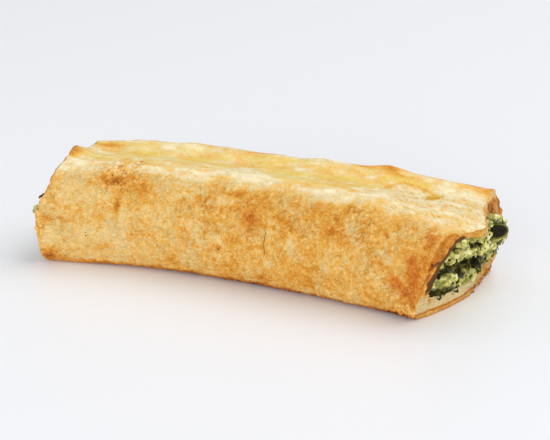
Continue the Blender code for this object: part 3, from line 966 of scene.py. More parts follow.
FLAKE_GROUPS = (
    # zone, count, length from and to, lift from and to in degrees, browning added from and to
    ("flaky", 80, 0.8, 2.4, 0.0, 8.0, -0.14, 0.14),
    ("crumbly", 46, 0.8, 1.9, 2.0, 20.0, -0.16, 0.10),
    ("rim", 70, 0.7, 1.7, 0.0, 14.0, -0.12, 0.12),
    ("near", 60, 0.6, 1.3, 0.0, 5.0, -0.12, 0.06),
    ("far", 60, 0.6, 1.3, 0.0, 8.0, -0.12, 0.06),
)
FLAKE_THICK = 0.13
FLAKE_SHARP = 50.0


def make_flakes(material, points, normals, finish, zones):
    """Lifted flakes of dry dough over the patches where the skin has come apart."""
    rng = np.random.default_rng(301)
    rim = fade(70.0, 72.0, points[:, 0]) + fade(-70.5, -73.0, points[:, 0])
    sides = zones["near"] + zones["far"]
    masks = dict(zones, rim=rim * sides * fade(1.0, 4.0, points[:, 2]),
                 flaky=zones["flaky"] * fade(-7.0, -10.0, points[:, 1]))
    shapes = []
    for zone, count, shortest, longest, flattest, steepest, paler, darker in FLAKE_GROUPS:
        weight = masks[zone] ** 2 * (points[:, 2] > 1.2)
        for index in picked(rng, weight, count):
            length = rng.uniform(shortest, longest)
            body, faces = shard(rng, length, length * rng.uniform(0.45, 0.8), FLAKE_THICK)
            lift = math.radians(rng.uniform(flattest, steepest))
            lean = np.array([[math.cos(lift), 0, math.sin(lift)], [0, 1, 0],
                             [-math.sin(lift), 0, math.cos(lift)]])
            axes = basis(normals[index], rng)
            rise = 0.5 * length * math.sin(lift) - 0.08
            placed = body @ lean @ axes + points[index] + normals[index] * rise
            placed[:, 2] = np.maximum(placed[:, 2], 0.05)
            browning = finish["browning"][index] + rng.uniform(paler, darker)
            shapes.append((placed, faces, {"browning": browning}))
    body, faces, values = joined(shapes)
    return new_piece("flakes", body, faces, material, values, FLAKE_SHARP)


# Zone, count, and size from and to.
CRUMB_COUNTS = (("crumbly", 90, 0.20, 0.55), ("rim", 60, 0.15, 0.40), ("flaky", 40, 0.12, 0.30),
                ("foot", 70, 0.12, 0.35))
BURNT = 1.0                 # browning of the specks


def lumpy(rng, ball, roughness, seed):
    """The ball with an uneven skin."""
    rough = 1.0 + roughness * noise(ball + 20.0 * rng.uniform(size=3), 0.8, seed)
    return ball * rough[:, None]


def lump(rng, ball, sizes, place, roughness, seed):
    """A rough lump, turned at random."""
    return (lumpy(rng, ball, roughness, seed) * sizes) @ turned(rng) + place


def nearest_point(points, along, height):
    """Index of the near side's point at a place along and a height."""
    away = np.hypot(points[:, 0] - along, points[:, 2] - height) + 99.0 * (points[:, 1] > 0.0)
    return int(np.argmin(away))


def make_crumbs(material, points, normals, finish, zones):
    """Small rough crumbs that cling to the skin and to the cut edges, and burnt specks."""
    rng = np.random.default_rng(331)
    ball, ball_faces = unit_ball(2)
    rim = fade(70.0, 71.5, points[:, 0]) + fade(-71.5, -73.0, points[:, 0])
    masks = dict(zones, rim=rim * fade(0.5, 2.0, points[:, 2]))
    shapes = []
    for zone, count, smallest, largest in CRUMB_COUNTS:
        weight = masks[zone] ** 2 * (points[:, 2] > 0.25)
        for index in picked(rng, weight, count):
            size = rng.uniform(smallest, largest) * rng.uniform(0.6, 1.3, size=3)
            placed = lump(rng, ball, size, points[index], 0.30, 341)
            placed[:, 2] = np.maximum(placed[:, 2], 0.0)
            browning = finish["browning"][index] + rng.uniform(-0.22, 0.08)
            shapes.append((placed, ball_faces, {"browning": browning}))
    for along, height, size in SPECKS:
        index = nearest_point(points, along, height)
        body = lumpy(rng, ball, 0.35, 351) * size
        flat = basis(normals[index], rng) * np.array([[1.0], [0.7], [0.4]])
        placed = body @ flat + points[index]
        shapes.append((placed, ball_faces, {"browning": BURNT}))
    body, faces, values = joined(shapes)
    return new_piece("crumbs", body, faces, material, values)


# ================================================================ the filling


def darkness(points):
    """1 where the filling's end is dark spinach, 0 where it is cheese."""
    along, across, height = points.T
    flat = np.stack([across, height], axis=1)
    wander = 0.7 * layered(points, 2.6, 401)
    right = np.zeros(len(points))
    for line, half in DARK_BANDS:
        right = np.maximum(right, 1.0 - fade(half - 0.5, half + 0.5, line_distance(flat, line) + wander))
    slanted = height + LEFT_BAND_TURN * across + 2.2 * noise(points, 9.0, 411)
    phase = np.abs((slanted / LEFT_BAND_PITCH) % 1.0 - 0.5) * LEFT_BAND_PITCH
    left = 1.0 - fade(LEFT_BAND_HALF - 0.5, LEFT_BAND_HALF + 0.5, phase + wander)
    return np.where(along > 0.0, right, left)


def face_hit(end, across, height):
    """Where a line along the roll, from outside, meets the filling's end, or None."""
    start = Vector((end * FAR_OUT, across, height))
    return FILLING_TREE.ray_cast(start, Vector((-end, 0.0, 0.0)))[0]


def depth_inside(place):
    """How far a place at the open end lies inside the dough's opening; negative outside it."""
    line = np.vstack([OPENING, OPENING[:1]])
    start, end = line[:-1], line[1:]
    spans = (start[:, 1] > place[2]) != (end[:, 1] > place[2])
    rise = np.where(spans, end[:, 1] - start[:, 1], 1.0)
    crossing = start[:, 0] + (place[2] - start[:, 1]) / rise * (end[:, 0] - start[:, 0])
    inside = np.count_nonzero(spans & (crossing > place[1])) % 2 == 1
    away = line_distance(np.array([[place[1], place[2]]]), line)[0]
    return away if inside else -away


def gap_share(place, wider=0.0):
    """1 in the gap between the open end's near wall and the filling, 0 elsewhere."""
    _, across, height = place
    edge = height_over(GAP_EDGE, height) + wider
    return float(fade(edge + 0.4, edge - 0.4, across) * fade(6.0, 9.0, height))


def filled(place, end, margin):
    """Whether filling shows at a place of an end face, rather than the gap or the dough."""
    return end < 0.0 or (depth_inside(place) >= margin and gap_share(place, 0.2) < 0.5)


def draw_back(place):
    """How far the filling draws back from its packed end face, at the open end."""
    along, across, height = place
    if along < 0.0:
        return 0.0
    depth = depth_inside(place)
    beside = gap_share(place)
    low = fade(16.0, 10.5, height) * fade(4.0, 13.0, across)
    covered = fade(0.9, 0.2, depth)
    back = max(GAP_DEPTH * beside, LOW_DRAW_BACK * low, COVERED_DRAW_BACK * covered)
    behind_leaf = bell(across - LEAF_ROOM[0], LEAF_ROOM[2]) * bell(height - LEAF_ROOM[1], LEAF_ROOM[3])
    return float(back + LEAF_ROOM[4] * behind_leaf)


def face_places(spacing, rng):
    """Scattered places over both end faces of the filling, each with its end."""
    low = FILLING_POINTS.min(axis=0)
    high = FILLING_POINTS.max(axis=0)
    rows = int((high[2] - low[2]) / (spacing * ROW_PITCH)) + 1
    columns = int((high[1] - low[1]) / spacing) + 1
    places = []
    for end in (1.0, -1.0):
        for row, column in itertools.product(range(rows), range(columns)):
            jitter = rng.uniform(-0.35, 0.35, size=2) * spacing
            side = low[1] + (column + 0.5 * (row % 2)) * spacing + jitter[0]
            height = low[2] + row * spacing * ROW_PITCH + jitter[1]
            found = face_hit(end, side, height)
            if found is None or end * found.x < END_ZONE:
                continue
            place = np.array(found)
            place[0] -= draw_back(place)
            places.append((place, end))
    return places


LOW_SPACING = 1.2           # of the bits that lie on the open end's floor
LOW_REACH = (-21.0, 5.0)    # from and to, across
LOW_RISE = 0.8              # how far their middles lie above it
LOW_LIMIT = 8.4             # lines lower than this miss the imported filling's end


def low_places(rng):
    """Places along the edge of the filling that lies on the open end's floor."""
    places = []
    for across in np.arange(LOW_REACH[0], LOW_REACH[1], LOW_SPACING):
        height = height_over(CORNER_FLOOR, across) + LOW_RISE + rng.uniform(-0.3, 0.3)
        found = face_hit(1.0, across, max(height, LOW_LIMIT))
        if found is not None:
            places.append(np.array([found.x - 0.6, across + rng.uniform(-0.3, 0.3), height]))
    return places


# Strands of cheese that lie over the open end: place across and height of both ends, and size.
STRANDS = (
    (-17.0, 20.8, -2.0, 18.4, 0.95), (-12.5, 19.2, -4.0, 17.4, 0.8), (-20.4, 12.1, -9.6, 11.6, 1.0),
    (-19.4, 10.3, -12.0, 9.8, 0.9), (-15.0, 24.6, -8.5, 23.6, 0.9), (-4.5, 11.2, 0.5, 9.6, 0.9),
    (-3.0, 23.6, 3.5, 21.8, 0.9), (1.0, 17.4, 7.0, 15.6, 0.9),
)


def strand_places(rng):
    """Places along each strand, close enough to merge, with the strand's size."""
    places = []
    for start_across, start_height, end_across, end_height, size in STRANDS:
        length = math.hypot(end_across - start_across, end_height - start_height)
        for share in np.linspace(0.0, 1.0, max(2, round(length / (0.7 * size)))):
            across = start_across + share * (end_across - start_across)
            height = start_height + share * (end_height - start_height) + rng.uniform(-0.15, 0.15)
            found = face_hit(1.0, across, height)
            if found is not None:
                place = np.array([found.x + 0.8, across, height])
                place[0] -= draw_back(place)
                places.append((place, size * rng.uniform(0.9, 1.1)))
    return places


# Single curds that stand out of the ends: place along, across, height and size.
PROUD_CURDS = (
    (72.2, -14.2, 24.6, 1.4), (71.6, -12.4, 23.4, 1.4), (72.4, -15.4, 25.4, 1.0),
    (71.0, -9.5, 22.6, 1.4), (73.2, 12.0, 22.4, 1.2), (73.6, 14.2, 22.0, 1.3), (73.8, 16.6, 21.2, 1.1),
    (73.2, 9.4, 22.4, 1.1), (73.8, 7.8, 20.4, 1.2), (75.4, 20.4, 16.6, 1.2), (74.8, 21.2, 14.6, 0.9),
    (73.6, 9.5, 16.5, 1.5), (73.8, 12.4, 15.0, 1.5), (73.2, 14.4, 12.9, 1.2), (73.2, 5.6, 17.6, 1.3),
    (72.6, 2.2, 16.6, 1.3), (71.4, -1.6, 16.8, 1.2), (70.6, -5.2, 17.2, 1.2), (69.2, -9.0, 17.4, 1.1),
    (68.2, -13.6, 17.8, 1.0), (66.8, -12.6, 10.2, 1.3), (67.8, -9.0, 10.4, 1.3),
    (68.8, -5.6, 10.2, 1.3), (65.4, -15.6, 10.2, 1.1), (70.2, -2.2, 10.2, 1.0),
    (-77.7, -25.6, 17.6, 0.9), (-77.9, -25.4, 16.2, 1.0), (-77.6, -25.6, 14.8, 0.8),
)


def curd_seeds(rng):
    """Middles and sizes of the lumps of cheese."""
    seeds = []
    for place, end in face_places(CURD_SPACING, rng):
        dark = darkness(place[None, :])[0]
        if not filled(place, end, 0.4):
            continue
        size = rng.uniform(*CURD_SIZES) * (1.0 - 0.25 * dark)
        out = rng.uniform(-0.6, 0.8) - (1.3 * dark if rng.uniform() < 0.8 else 0.0)
        seeds.append((place + np.array([end * out, 0.0, 0.0]), size))
    for place in low_places(rng):
        seeds.append((place, rng.uniform(0.7, 0.95)))
    seeds += strand_places(rng)
    for along, across, height, size in PROUD_CURDS:
        seeds.append((np.array([along, across, height]), size))
    return seeds


def make_curds(material):
    """The lumps and grains of cheese over both ends, merged into one crumbly skin."""
    rng = np.random.default_rng(421)
    ball, ball_faces = unit_ball(2)
    shapes = []
    seeds = curd_seeds(rng)
    for place, size in seeds:
        sizes = size * rng.uniform(0.7, 1.3, size=3)
        shapes.append((lump(rng, ball, sizes, place, 0.22, 431), ball_faces, {}))
    for index in rng.integers(len(seeds), size=GRAIN_COUNT):
        place, size = seeds[index]
        aim = unit(rng.normal(size=3) + np.array([1.4 * np.sign(place[0]), 0.0, 0.0]))
        sizes = rng.uniform(*GRAIN_SIZES) * rng.uniform(0.6, 1.4, size=3)
        shapes.append((lump(rng, ball, sizes, place + aim * size, 0.3, 431), ball_faces, {}))
    heap, faces, _ = joined(shapes)
    points, normals, faces = remeshed("curd_heap", heap, faces, CURD_VOXEL)
    crumble = 0.12 * layered(points, 1.1, 441, 2) + 0.10 * noise(points, 0.6, 444)
    points = points + normals * crumble[:, None]
    _, _, own = cells(points, 1.3, 447)
    tint = 0.37 + 0.6 * (own - 0.5) + 0.35 * layered(points, 2.2, 451, 2)
    tint -= 0.10 * fade(14.0, 11.0, points[:, 2])
    # painted light: the curds that stand out at the far left end get a paler tint; they also get less
    # spinach
    far_left_lit = fade(-76.8, -77.3, points[:, 0])
    tint += 0.15 * far_left_lit
    spinach = darkness(points) * (1.0 - 0.6 * far_left_lit)
    # painted shade: the skin's colour is darker where it sinks in between the crumbs
    values = {"spinach": spinach, "tint": tint, "hollow_shade": -crumble / 0.2}
    return new_piece("cheese_curds", points, faces, material, values), points, normals


def make_flecks(material, points, normals):
    """Chopped bits of spinach that lie on the curds' skin."""
    rng = np.random.default_rng(481)
    outward = np.clip(normals[:, 0] * np.sign(points[:, 0]), 0.0, 1.0)
    shapes = []
    for index in picked(rng, outward, FLECK_COUNT):
        length = rng.uniform(0.5, 1.6)
        body, faces = leaf(rng, length, length * rng.uniform(0.3, 0.7), 0.3, 0.25, 6, 4)
        placed = body @ basis(unit(normals[index] + 0.3 * rng.normal(size=3)), rng) + points[index]
        shapes.append((placed, faces, {"tint": rng.uniform(0.2, 1.1)}))
    body, faces, values = joined(shapes)
    return new_piece("spinach_flecks", body, faces, material, values)


def make_core(material):
    """The body of the filling behind the curds, with painted shade: darker all over, and dark as spinach
    in the gap beside the open end's near wall.
    """
    points, normals, faces = remeshed("filling_body", FILLING_POINTS, FILLING_FACES, CORE_VOXEL)
    shade = darkness(points)
    # painted shade: in the gap beside the open end's near wall the core is coloured as dark as spinach
    for index in np.nonzero(points[:, 0] > END_ZONE)[0]:
        shade[index] = max(shade[index], gap_share(points[index], 2.5))
        points[index, 0] -= draw_back(points[index])
    points[:, 0] *= 1.0 - CORE_DRAW_BACK / FILLING_POINTS[:, 0].max()
    points = points + normals * (0.18 * layered(points, 3.0, 461))[:, None]
    # painted shade: the core's colour is a little darker all over, as it lies behind the curds
    values = {"spinach": shade, "tint": 0.4 + 0.5 * noise(points, 3.0, 471) - 0.5 * shade,
              "hollow_shade": np.full(len(points), 0.5)}
    return new_piece("filling_core", points, faces, material, values)


def leaf(rng, length, width, fold, crumple, rows, columns):
    """A cooked spinach leaf: a crumpled, folded sheet, closed, lying in its own plane."""
    u, v = np.meshgrid(np.linspace(-1, 1, rows), np.linspace(-1, 1, columns), indexing="ij")
    outline = np.sqrt(np.clip(1.0 - 0.85 * u**2, 0.05, 1.0))
    x = u * length * 0.5
    y = v * outline * width * 0.5
    flat = np.stack([x, y, np.zeros_like(x)], axis=-1).reshape(-1, 3)
    offset = 50.0 * rng.uniform(size=3)
    waves = layered(flat + offset, 1.9, 501, 2).reshape(u.shape)
    small = noise(flat + offset, 0.9, 504).reshape(u.shape)
    z = fold * np.abs(y) + crumple * waves + 0.3 * crumple * small
    sway = 0.5 * crumple * noise(flat + offset, 2.2, 505).reshape(u.shape)
    return sheet_solid(np.stack([x, y + sway, z], axis=-1), LEAF_THICK)


def domed_leaf(rng, length, width, rise):
    """A wet leaf that bulges like a spoon, paler at its rolled rim as a painted highlight: points, faces
    and tint.
    """
    u, v = np.meshgrid(np.linspace(-1, 1, 21), np.linspace(-1, 1, 15), indexing="ij")
    x = u * np.sqrt(1.0 - 0.5 * v**2)
    y = v * np.sqrt(1.0 - 0.5 * u**2)
    away = np.clip(np.hypot(x, y), 0.0, 1.0)
    flat = np.stack([x * length * 0.5, y * width * 0.5, np.zeros_like(x)], axis=-1)
    offset = 50.0 * rng.uniform(size=3)
    waves = noise(flat.reshape(-1, 3) + offset, 1.6, 507).reshape(u.shape)
    rim = bell(away - 0.92, 0.14)
    flat[..., 2] = rise * (1.0 - away**2) + 0.22 * waves + 0.25 * rim
    body, faces = sheet_solid(flat, LEAF_THICK)
    # painted highlight: the tint is raised along the rolled rim
    tint = np.tile((1.25 * rim + 0.1 * waves).ravel(), 2)
    return body, faces, {"tint": tint}


# Large leaves that show singly at the open end: place along, across, height, length,
# width, rise, and the direction they face.
SHOWN_LEAVES = (
    (75.2, 10.9, 20.6, 9.2, 5.0, 1.2, (0.66, -0.66, 0.36)),
    (75.0, 15.8, 17.2, 2.2, 1.6, 0.4, (0.80, -0.50, 0.30)),
)
# Torn ends of leaves that hang out of the shut end beside its near wall.
HANGING_LEAVES = (
    (-74.2, -26.6, 22.6, 3.0, 1.1), (-75.1, -26.2, 20.0, 2.0, 1.1), (-76.3, -27.6, 12.0, 1.0, 0.6),
)


def placed_leaf(shape, place, facing, turn=0.0):
    """The shape with its own upward axis along facing and its long axis level, turned a little."""
    upward = unit(np.array(facing, float))
    level = unit(np.cross((0.0, 0.0, 1.0), upward))
    beside = np.cross(upward, level)
    long_axis = level * math.cos(turn) + beside * math.sin(turn)
    return shape @ np.stack([long_axis, np.cross(upward, long_axis), upward]) + np.array(place)


def strewn(rng, shape, place, facing, spread, out):
    """The shape at a place of an end face, turned at random about the direction it faces, and
    moved out of that end by a random length from and to the two numbers of out."""
    aim = unit(np.array(facing) + spread * rng.normal(size=3))
    placed = shape @ basis(aim, rng) + place
    placed[:, 0] += np.sign(facing[0]) * rng.uniform(*out)
    return placed


def make_leaves(material):
    """Cooked leaves crumpled into the dark bands of both ends, with shreds all over."""
    rng = np.random.default_rng(511)
    shapes = []
    for place, end in face_places(LEAF_SPACING, rng):
        if darkness(place[None, :])[0] < 0.45 or not filled(place, end, 0.5):
            continue
        body, faces = leaf(rng, rng.uniform(1.6, 3.6), rng.uniform(1.1, 2.4),
                           rng.uniform(-0.5, 0.5), rng.uniform(0.5, 0.95), 10, 7)
        placed = strewn(rng, body, place, (end, 0.0, 0.0), 0.75, (-0.7, 0.6))
        shapes.append((placed, faces, {"tint": rng.uniform(0.0, 1.2)}))
    for place, end in face_places(SHRED_SPACING, rng):
        if not filled(place, end, 1.5):
            continue
        body, faces = leaf(rng, rng.uniform(1.4, 3.2), rng.uniform(0.4, 0.9), 0.3, 0.4, 9, 4)
        placed = strewn(rng, body, place, (end, 0.0, 0.0), 0.6, (0.4, 1.3))
        shapes.append((placed, faces, {"tint": rng.uniform(0.1, 1.2)}))
    for place in low_places(rng):
        if darkness(place[None, :])[0] < 0.5:
            continue
        body, faces = leaf(rng, rng.uniform(2.0, 3.4), rng.uniform(1.4, 2.4), 0.4, 0.6, 10, 7)
        placed = strewn(rng, body, place, (1.0, -0.4, 0.3), 0.5, (0.6, 1.4))
        placed[:, 2] -= 0.3
        shapes.append((placed, faces, {"tint": rng.uniform(0.0, 1.2)}))
    for along, across, height, length, width in HANGING_LEAVES:
        body, faces = leaf(rng, length, width, 0.2, 0.45, 15, 9)
        placed = placed_leaf(body, (along, across, height), (-0.5, -0.8, 0.3), rng.uniform(0.6, 1.4))
        shapes.append((placed, faces, {"tint": rng.uniform(0.1, 0.4)}))
    for along, across, height, length, width, rise, facing in SHOWN_LEAVES:
        body, faces, values = domed_leaf(rng, length, width, rise)
        shapes.append((placed_leaf(body, (along, across, height), facing), faces, values))
    body, faces, values = joined(shapes)
    return new_piece("spinach_leaves", body, faces, material, values)


# ================================================================ shaders


def feed(tree, socket, value):
    """Give a socket a number or a colour, or link another socket to it."""
    if isinstance(value, bpy.types.NodeSocket):
        tree.links.new(value, socket)
    else:
        socket.default_value = value


def node(tree, kind, settings=None, **inputs):
    """A shader node with its settings; inputs are numbers, colours or other sockets."""
    made = tree.nodes.new(kind)
    for key, value in (settings or {}).items():
        setattr(made, key, value)
    for key, value in inputs.items():
        feed(tree, made.inputs[key.replace("_", " ")], value)
    return made


def maths(tree, operation, *values):
    """The result of a Math node."""
    made = node(tree, "ShaderNodeMath", {"operation": operation})
    for socket, value in zip(made.inputs, values):
        feed(tree, socket, value)
    return made.outputs[0]


def added(tree, total, value, share):
    """The total with a share of a value added."""
    return maths(tree, "MULTIPLY_ADD", value, share, total)


def off_middle(tree, value):
    """How far a value is from 0.5."""
    return maths(tree, "SUBTRACT", value, 0.5)


def mixed(tree, share, first, second, blend="MIX"):
    """The result of a colour mix."""
    made = node(tree, "ShaderNodeMix", {"data_type": "RGBA", "blend_type": blend})
    for index, value in ((0, share), (6, first), (7, second)):
        feed(tree, made.inputs[index], value)
    return made.outputs[2]


def ramp(tree, value, stops):
    """A colour ramp; stops are places and colours."""
    made = tree.nodes.new("ShaderNodeValToRGB")
    elements = made.color_ramp.elements
    while len(elements) > 1:
        elements.remove(elements[-1])
    for index, (place, colour) in enumerate(stops):
        element = elements[0] if index == 0 else elements.new(place)
        element.position = place
        element.color = (*colour, 1.0)
    tree.links.new(value, made.inputs[0])
    return made.outputs[0]


def mapped(tree, value, low, high, to_low, to_high):
    """The value carried over from one range to another, and kept inside it."""
    made = node(tree, "ShaderNodeMapRange", None, Value=value)
    for index, number in zip(range(1, 5), (low, high, to_low, to_high)):
        made.inputs[index].default_value = number
    return made.outputs[0]


def new_group(name, inputs, outputs):
    """An empty shader group with its sockets: names to kinds and values."""
    group = bpy.data.node_groups.new(name, "ShaderNodeTree")
    for key, (kind, value) in inputs.items():
        socket = group.interface.new_socket(name=key, in_out="INPUT", socket_type=kind)
        if value is not None:
            socket.default_value = value
    for key, kind in outputs.items():
        group.interface.new_socket(name=key, in_out="OUTPUT", socket_type=kind)
    entry = group.nodes.new("NodeGroupInput")
    leave = group.nodes.new("NodeGroupOutput")
    return group, entry.outputs, leave.inputs


FLOAT = "NodeSocketFloat"
COLOUR = "NodeSocketColor"
VECTOR = "NodeSocketVector"
WAVE_PERIOD = 0.314         # of a Wave texture whose scale is 1

DOUGH_STOPS = (
    (0.00, (0.900, 0.780, 0.490)),
    (0.10, (0.800, 0.655, 0.375)),
    (0.20, (0.830, 0.585, 0.235)),
    (0.30, (0.830, 0.520, 0.155)),
    (0.40, (0.800, 0.435, 0.090)),
    (0.50, (0.760, 0.355, 0.045)),
    (0.66, (0.650, 0.240, 0.016)),
    (0.84, (0.430, 0.125, 0.009)),
    (0.93, (0.230, 0.065, 0.007)),
    (1.00, (0.070, 0.022, 0.005)),
)
THIN_COLOUR = (0.825, 0.630, 0.178, 1.0)
THIN_BAKED_COLOUR = (0.70, 0.37, 0.022, 1.0)
RED_TINT = (0.92, 0.66, 0.62, 1.0)
CRACK_COLOUR = (0.34, 0.12, 0.01, 1.0)


def dough_colour_group():
    """Colour of baked dough from its browning, translucence and redness."""
    group, given, wanted = new_group(
        "dough_colour",
        {"Browning": (FLOAT, 0.5), "Translucence": (FLOAT, 0.0), "Redness": (FLOAT, 0.0)},
        {"Colour": COLOUR},
    )
    baked = ramp(group, given["Browning"], DOUGH_STOPS)
    darker = mixed(group, given["Browning"], THIN_COLOUR, THIN_BAKED_COLOUR)
    thin = mixed(group, given["Translucence"], baked, darker)
    red = mixed(group, given["Redness"], thin, mixed(group, 1.0, thin, RED_TINT, "MULTIPLY"))
    group.links.new(red, wanted["Colour"])
    return group


def crumb_grain_group():
    """Uneven grain at one size: soft mottling, bubbles, thin wrinkles, and a height for the bump."""
    group, given, wanted = new_group(
        "crumb_grain",
        {"Position": (VECTOR, None), "Size": (FLOAT, MM)},
        {"Mottle": FLOAT, "Bubbles": FLOAT, "Wrinkles": FLOAT, "Height": FLOAT},
    )
    count = maths(group, "DIVIDE", 1.0, given["Size"])
    soft = node(group, "ShaderNodeTexNoise", None, Vector=given["Position"], Scale=count,
                Detail=3.0, Roughness=0.6)
    tighter = maths(group, "MULTIPLY", count, 1.15)
    bubbles = node(group, "ShaderNodeTexVoronoi", {"feature": "SMOOTH_F1"},
                   Vector=given["Position"], Scale=tighter, Smoothness=0.35)
    finer = maths(group, "MULTIPLY", count, 3.1)
    fine = node(group, "ShaderNodeTexNoise", None, Vector=given["Position"], Scale=finer,
                Detail=2.0, Roughness=0.6)
    wavy = node(group, "ShaderNodeTexNoise", None, Vector=given["Position"], Scale=count,
                Detail=1.0, Roughness=0.5, Distortion=0.8)
    away = maths(group, "ABSOLUTE", off_middle(group, wavy.outputs[0]))
    wrinkles = mapped(group, away, 0.0, 0.055, 1.0, 0.0)
    raised = maths(group, "SUBTRACT", 1.0, bubbles.outputs["Distance"])
    height = maths(group, "MULTIPLY", soft.outputs[0], 0.8)
    height = added(group, height, raised, 0.9)
    height = added(group, height, fine.outputs[0], 0.35)
    height = added(group, height, wrinkles, 0.25)
    group.links.new(wrinkles, wanted["Wrinkles"])
    group.links.new(soft.outputs[0], wanted["Mottle"])
    group.links.new(raised, wanted["Bubbles"])
    group.links.new(height, wanted["Height"])
    return group


def new_material(name):
    """A material with its shader tree and its surface shader."""
    material = bpy.data.materials.new(name)
    material.use_nodes = True
    tree = material.node_tree
    return material, tree, tree.nodes["Principled BSDF"]


def own_place(tree):
    """A place on the piece, in its own frame."""
    return node(tree, "ShaderNodeTexCoord").outputs["Object"]


def kept_value(tree, name):
    """A number kept on the mesh's points."""
    return node(tree, "ShaderNodeAttribute", {"attribute_name": name}).outputs["Fac"]


def place_group(tree, group, **inputs):
    """The results of a shader group."""
    return node(tree, "ShaderNodeGroup", {"node_tree": group}, **inputs).outputs


def set_bump(tree, shader, height, distance):
    """Make a surface rough; the distance is in millimetres."""
    bump = node(tree, "ShaderNodeBump", None, Height=height, Distance=distance * MM)
    tree.links.new(bump.outputs[0], shader.inputs["Normal"])


def set_surface(shader, specular, scatter=0.0, reach=None):
    """Gloss of a material, with the share and the reach in millimetres of light that seeps in."""
    shader.inputs["Specular IOR Level"].default_value = specular
    if scatter > 0.0:
        shader.inputs["Subsurface Weight"].default_value = scatter
        shader.inputs["Subsurface Radius"].default_value = tuple(size * MM for size in reach)
        shader.inputs["Subsurface Scale"].default_value = 1.0


def fine_creases_group():
    """Thin wavering lines, as where a thin sheet of dough has puckered."""
    group, given, wanted = new_group(
        "fine_creases",
        {"Position": (VECTOR, None), "Pitch": (FLOAT, 2.0 * MM)},
        {"Lines": FLOAT},
    )
    count = maths(group, "DIVIDE", WAVE_PERIOD, given["Pitch"])
    waves = node(group, "ShaderNodeTexWave", {"bands_direction": "DIAGONAL"},
                 Vector=given["Position"], Scale=count, Distortion=10.0, Detail=1.5,
                 Detail_Scale=1.0, Detail_Roughness=0.5)
    lines = maths(group, "POWER", waves.outputs["Fac"], 5.0)
    group.links.new(lines, wanted["Lines"])
    return group


def crinkle_group():
    """Thin crooked outlines of small blisters, in clusters."""
    group, given, wanted = new_group(
        "crinkles",
        {"Position": (VECTOR, None), "Size": (FLOAT, 1.6 * MM)},
        {"Lines": FLOAT},
    )
    count = maths(group, "DIVIDE", 1.0, given["Size"])
    bend = node(group, "ShaderNodeTexNoise", None, Vector=given["Position"], Scale=count, Detail=1.0)
    centred = node(group, "ShaderNodeVectorMath", {"operation": "SUBTRACT"})
    group.links.new(bend.outputs["Color"], centred.inputs[0])
    centred.inputs[1].default_value = (0.5, 0.5, 0.5)
    shift = node(group, "ShaderNodeVectorMath", {"operation": "SCALE"}, Scale=given["Size"])
    group.links.new(centred.outputs[0], shift.inputs[0])
    moved = node(group, "ShaderNodeVectorMath", {"operation": "ADD"})
    group.links.new(given["Position"], moved.inputs[0])
    group.links.new(shift.outputs[0], moved.inputs[1])
    edges = node(group, "ShaderNodeTexVoronoi", {"feature": "DISTANCE_TO_EDGE"},
                 Vector=moved.outputs[0], Scale=count)
    lines = mapped(group, edges.outputs["Distance"], 0.03, 0.17, 1.0, 0.0)
    rarer = maths(group, "MULTIPLY", count, 0.28)
    cluster = node(group, "ShaderNodeTexNoise", None, Vector=given["Position"], Scale=rarer, Detail=2.0)
    shown = mapped(group, cluster.outputs[0], 0.46, 0.60, 0.0, 1.0)
    group.links.new(maths(group, "MULTIPLY", lines, shown), wanted["Lines"])
    return group


def crack_mask(tree, position):
    """1 on a hair crack in the near side, a wavering upright line."""
    parts = node(tree, "ShaderNodeSeparateXYZ", None, Vector=position).outputs
    sway = node(tree, "ShaderNodeTexNoise", {"noise_dimensions": "1D"}, W=parts[2],
                Scale=1.0 / (3.0 * MM), Detail=2.0)
    start = (CRACK_ALONG - 0.5 * CRACK_SWAY) * MM
    middle = maths(tree, "MULTIPLY_ADD", sway.outputs[0], CRACK_SWAY * MM, start)
    away = maths(tree, "ABSOLUTE", maths(tree, "SUBTRACT", parts[0], middle))
    line = mapped(tree, away, 0.3 * CRACK_HALF * MM, CRACK_HALF * MM, 1.0, 0.0)
    low = mapped(tree, parts[2], CRACK_LOW * MM, (CRACK_LOW + 1.5) * MM, 0.0, 1.0)
    high = mapped(tree, parts[2], (CRACK_HIGH - 4.0) * MM, CRACK_HIGH * MM, 1.0, 0.0)
    near = maths(tree, "LESS_THAN", parts[1], -10.0 * MM)
    mask = maths(tree, "MULTIPLY", line, maths(tree, "MULTIPLY", low, high))
    return maths(tree, "MULTIPLY", mask, near)


